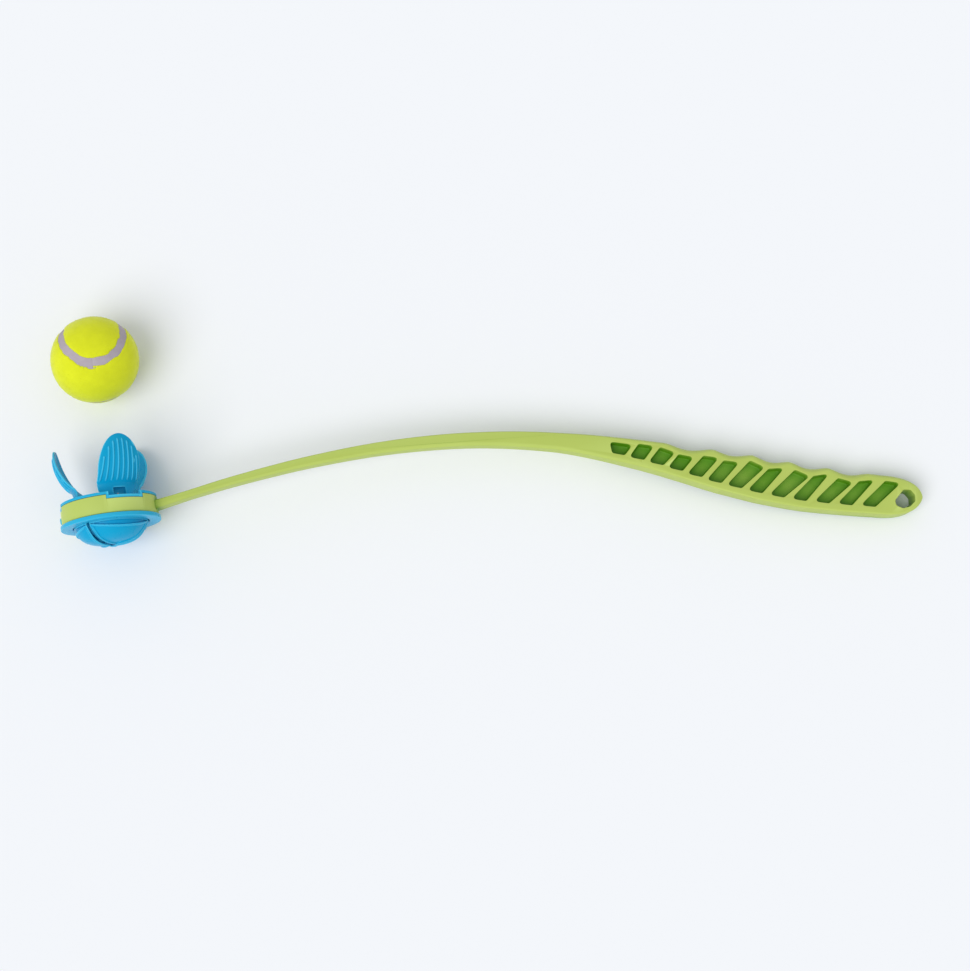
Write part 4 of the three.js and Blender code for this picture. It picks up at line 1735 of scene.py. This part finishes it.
@dataclass
class FeltBall:
    """The ball: two felt pads, the glued seam between them, and short loose fibres."""

    radius: float = 32.0
    seam: float = 6.0
    groove: float = 0.75
    swell: float = 0.15
    felt: float = 1.35
    wide: float = 0.75
    turns: tuple[float, float, float] = (51.4, 13.6, 42.4)
    slip_from: float = 0.36
    slip_degrees: float = 20.0
    joint_towards: tuple[float, float, float] = (0.18, -0.34, 0.92)
    joint_reach: float = 4.5
    fibres: int = 11000
    fibre_length: tuple[float, float] = (0.35, 0.85)
    seed: int = 7

    def curve(self, angle: float) -> Vector:
        """Gives the unit point of the line where the felts meet."""
        tight = 1 - self.wide
        return Vector(
            (
                self.wide * math.cos(angle) + tight * math.cos(3 * angle),
                self.wide * math.sin(angle) - tight * math.sin(3 * angle),
                2 * math.sqrt(self.wide * tight) * math.sin(2 * angle),
            )
        ).normalized()

    def prepare(self) -> None:
        """Samples the seam's line."""
        count = 1440
        self.line = kdtree.KDTree(count)
        for i in range(count):
            self.line.insert(self.curve(2 * math.pi * i / count), i)
        self.line.balance()
        base = Euler([math.radians(value) for value in self.turns], "ZYX").to_matrix()
        self.turn = Matrix.Rotation(math.radians(-3.5), 3, "X") @ base
        back = self.turn.transposed()
        self.joint = back @ Vector(self.joint_towards).normalized()

    def off_seam(self, unit: Vector) -> tuple[float, Vector]:
        """Gives the distance from the seam's middle, in millimetres, and the nearest point.

        Args:
            unit: A unit direction in the ball's frame.

        Returns:
            The distance over the surface and the nearest unit point of the line.
        """
        seen = self.turn @ unit
        slip = min(max((-seen.y - self.slip_from) / 0.4, 0), 1)
        bent = Matrix.Rotation(-math.radians(self.slip_degrees) * slip, 3, "X") @ seen
        asked = self.turn.transposed() @ bent
        spot, _, _ = self.line.find(asked)
        away = (unit + spot - asked).normalized()
        return math.acos(min(spot.dot(asked), 1)) * self.radius, away

    def edge_at(self, unit: Vector) -> float:
        """Gives how far the seam reaches here, a little ragged."""
        steps = round(noise.noise(unit * 6.0 + Vector((3, 1, 2))) * 3.2) / 3.2
        return self.seam / 2 + steps * 0.95 + noise.noise(unit * 24.0) * 0.25

    def height_at(self, unit: Vector, beyond: float) -> float:
        """Gives the surface's radius at a place.

        Args:
            unit: The direction.
            beyond: How far outside the seam's edge the place is.

        Returns:
            The radius in millimetres.
        """
        lumps = noise.noise(unit * 3.1) * 0.12 + noise.noise(unit * 9.0) * 0.07
        if beyond <= 0:
            side = abs((unit - self.joint).dot(self.turn.transposed() @ Vector((1, 0.12, 0)))) * self.radius
            near = (unit - self.joint).length * self.radius < self.joint_reach
            crease = max(0.42 - side * 0.6, 0) if near else 0.0
            return self.radius - self.groove - crease + lumps * 0.6 + noise.noise(unit * 30) * 0.05
        lip = min(beyond / 0.9, 1)
        return self.radius - self.swell - self.groove * 0.8 * (1 - lip) ** 2 + lumps - 0.2

    def skins(self) -> tuple[bmesh.types.BMesh, bmesh.types.BMesh]:
        """Splits one fine sphere into the felt pads and the seam.

        Returns:
            The felt and the seam, in the ball's frame.
        """
        sphere = bmesh.new()
        bmesh.ops.create_icosphere(sphere, subdivisions=7, radius=1)
        kept = {}
        for vert in sphere.verts:
            unit = vert.co.normalized()
            distance, spot = self.off_seam(unit)
            beyond = distance - self.edge_at(unit)
            if abs(beyond) < 0.26:
                away = (unit - spot).normalized()
                unit = (unit - away * beyond / self.radius).normalized()
                beyond = 0.0
            kept[vert.index] = (unit, beyond)
        felt_faces = []
        for face in sphere.faces:
            middle = sum(kept[vert.index][1] for vert in face.verts) / len(face.verts)
            if middle > 0:
                felt_faces.append(face.index)
        chosen = set(felt_faces)
        results = []
        for felt in (True, False):
            copy = sphere.copy()
            copy.faces.ensure_lookup_table()
            drop = [face for face in copy.faces if (face.index in chosen) != felt]
            for vert in copy.verts:
                unit, beyond = kept[vert.index]
                value = max(beyond, 1e-3) if felt else min(beyond, 0.0)
                vert.co = unit * self.height_at(unit, value)
            bmesh.ops.delete(copy, geom=drop, context="FACES")
            skin = copy.faces[:]
            made = bmesh.ops.solidify(copy, geom=skin, thickness=0)
            new = {item for item in made["geom"] if isinstance(item, bmesh.types.BMVert)}
            for vert in new:
                vert.co = vert.co.normalized() * (self.radius - self.felt)
            bmesh.ops.recalc_face_normals(copy, faces=copy.faces[:])
            results.append(copy)
        sphere.free()
        return results[0], results[1]

    def nap(self) -> bmesh.types.BMesh:
        """Scatters short fibres over the felt.

        Returns:
            The fibres as one mesh in the ball's frame.
        """
        chance = random.Random(self.seed)
        nap = bmesh.new()
        count = 0
        while count < self.fibres:
            unit = Vector((chance.gauss(0, 1), chance.gauss(0, 1), chance.gauss(0, 1))).normalized()
            distance, _ = self.off_seam(unit)
            beyond = distance - self.edge_at(unit)
            lean = Vector((chance.gauss(0, 1), chance.gauss(0, 1), chance.gauss(0, 1)))
            length = chance.uniform(*self.fibre_length)
            if beyond < 0.25:
                continue
            lean = (lean - unit * lean.dot(unit)).normalized()
            side = unit.cross(lean)
            root = unit * (self.height_at(unit, beyond) - 0.1)
            bend = root + unit * length * 0.45 + lean * length * 0.4
            tip = root + unit * length * 0.62 + lean * length
            width = 0.045
            verts = [nap.verts.new(p) for p in (root - side * width, root + side * width, bend, tip)]
            nap.faces.new((verts[0], verts[1], verts[2]))
            nap.faces.new((verts[1], verts[3], verts[2]))
            count += 1
        return nap

    def build(self, make: Maker) -> None:
        """Builds the ball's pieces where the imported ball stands.

        Args:
            make: Puts the pieces into the scene.
        """
        self.prepare()
        corners = [corner for node in ("ball_felt_a", "ball_felt_b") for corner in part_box(node)]
        low = Vector(tuple(min(c[i] for c in corners) for i in range(3)))
        high = Vector(tuple(max(c[i] for c in corners) for i in range(3)))
        at = Matrix.Translation((low + high) / 2) @ self.turn.to_4x4() @ Matrix.Scale(MM, 4)
        felt, seam = self.skins()
        make.piece("ball_felt_pads", felt, at, Body.BALL, Slot.FELT, ["ball_felt_a", "ball_felt_b"], 80)
        make.piece("ball_seam_line", seam, at, Body.BALL, Slot.SEAM, ["ball_seam"], 80)
        make.piece("ball_felt_nap", self.nap(), at, Body.BALL, Slot.FELT, [], 80)
        for node in ("ball_core_upper", "ball_core_lower"):
            core = frame["nodes"][node]
            core.data.materials.clear()
            core.data.materials.append(make.finishes.by_slot[Slot.RUBBER])
            log.info("%s: core rubber", node)


# Studio


@dataclass
class Studio:
    """Pale floor, soft light from the lower left, and the camera."""

    focal: float = 61.46
    sensor: float = 36.0
    spot: tuple[float, float, float] = (-0.0013, -0.2480, 1.2118)
    tilt: float = 10.0
    background: tuple[int, int, int] = (244, 246, 250)
    world: float = 0.61
    sun: float = 1.56
    sun_spread: float = 46.0
    sun_from: tuple[float, float, float] = (-0.46, -0.56, 1.05)

    def camera(self) -> None:
        """Sets the camera at the photograph's angle."""
        data = bpy.data.cameras.new("camera")
        data.lens = self.focal
        data.sensor_width = self.sensor
        data.sensor_fit = "HORIZONTAL"
        eye = bpy.data.objects.new("camera", data)
        eye.location = self.spot
        eye.rotation_euler = (math.radians(self.tilt), 0, 0)
        bpy.context.scene.collection.objects.link(eye)
        bpy.context.scene.camera = eye

    def light(self) -> None:
        """Sets the sky and one wide soft lamp."""
        world = bpy.data.worlds.new("studio")
        bpy.context.scene.world = world
        world.use_nodes = True
        sky = world.node_tree.nodes["Background"]
        sky.inputs["Color"].default_value = (0.97, 0.985, 1.0, 1)
        sky.inputs["Strength"].default_value = self.world
        data = bpy.data.lights.new("window", "SUN")
        data.energy = self.sun
        data.angle = math.radians(self.sun_spread)
        data.color = (1.0, 0.995, 0.98)
        lamp = bpy.data.objects.new("window", data)
        lamp.rotation_euler = Vector(self.sun_from).to_track_quat("Z", "Y").to_euler()
        bpy.context.scene.collection.objects.link(lamp)

    def floor(self) -> None:
        """Lays the pale floor."""
        sheet = bmesh.new()
        bmesh.ops.create_grid(sheet, x_segments=2, y_segments=2, size=6)
        ground = as_object(sheet, "studio_floor")
        made = bpy.data.materials.new("studio_paper")
        made.use_nodes = True
        shader = made.node_tree.nodes["Principled BSDF"]
        shader.inputs["Base Color"].default_value = linear(self.background)
        shader.inputs["Roughness"].default_value = 1.0
        shader.inputs["Specular IOR Level"].default_value = 0.0
        ground.data.materials.append(made)

    def build(self) -> None:
        """Builds the studio."""
        bpy.context.scene.view_settings.view_transform = "Standard"
        self.camera()
        self.light()
        self.floor()


def main() -> None:
    """Builds the studio and the launcher's pieces in order."""
    logging.basicConfig(level=logging.INFO, format="%(name)s: %(message)s")
    Studio().build()
    finishes = Finishes()
    make = Maker(finishes)
    places = LauncherFrame()
    ring = RingSizes()
    GreenMoulding(ring).build(make, places)
    RingFittings(ring).build(make, places)
    Claw(ring).build(make, places)
    HingeHardware(ring).build(make, places)
    FeltBall().build(make)


if __name__ == "__main__":
    main()
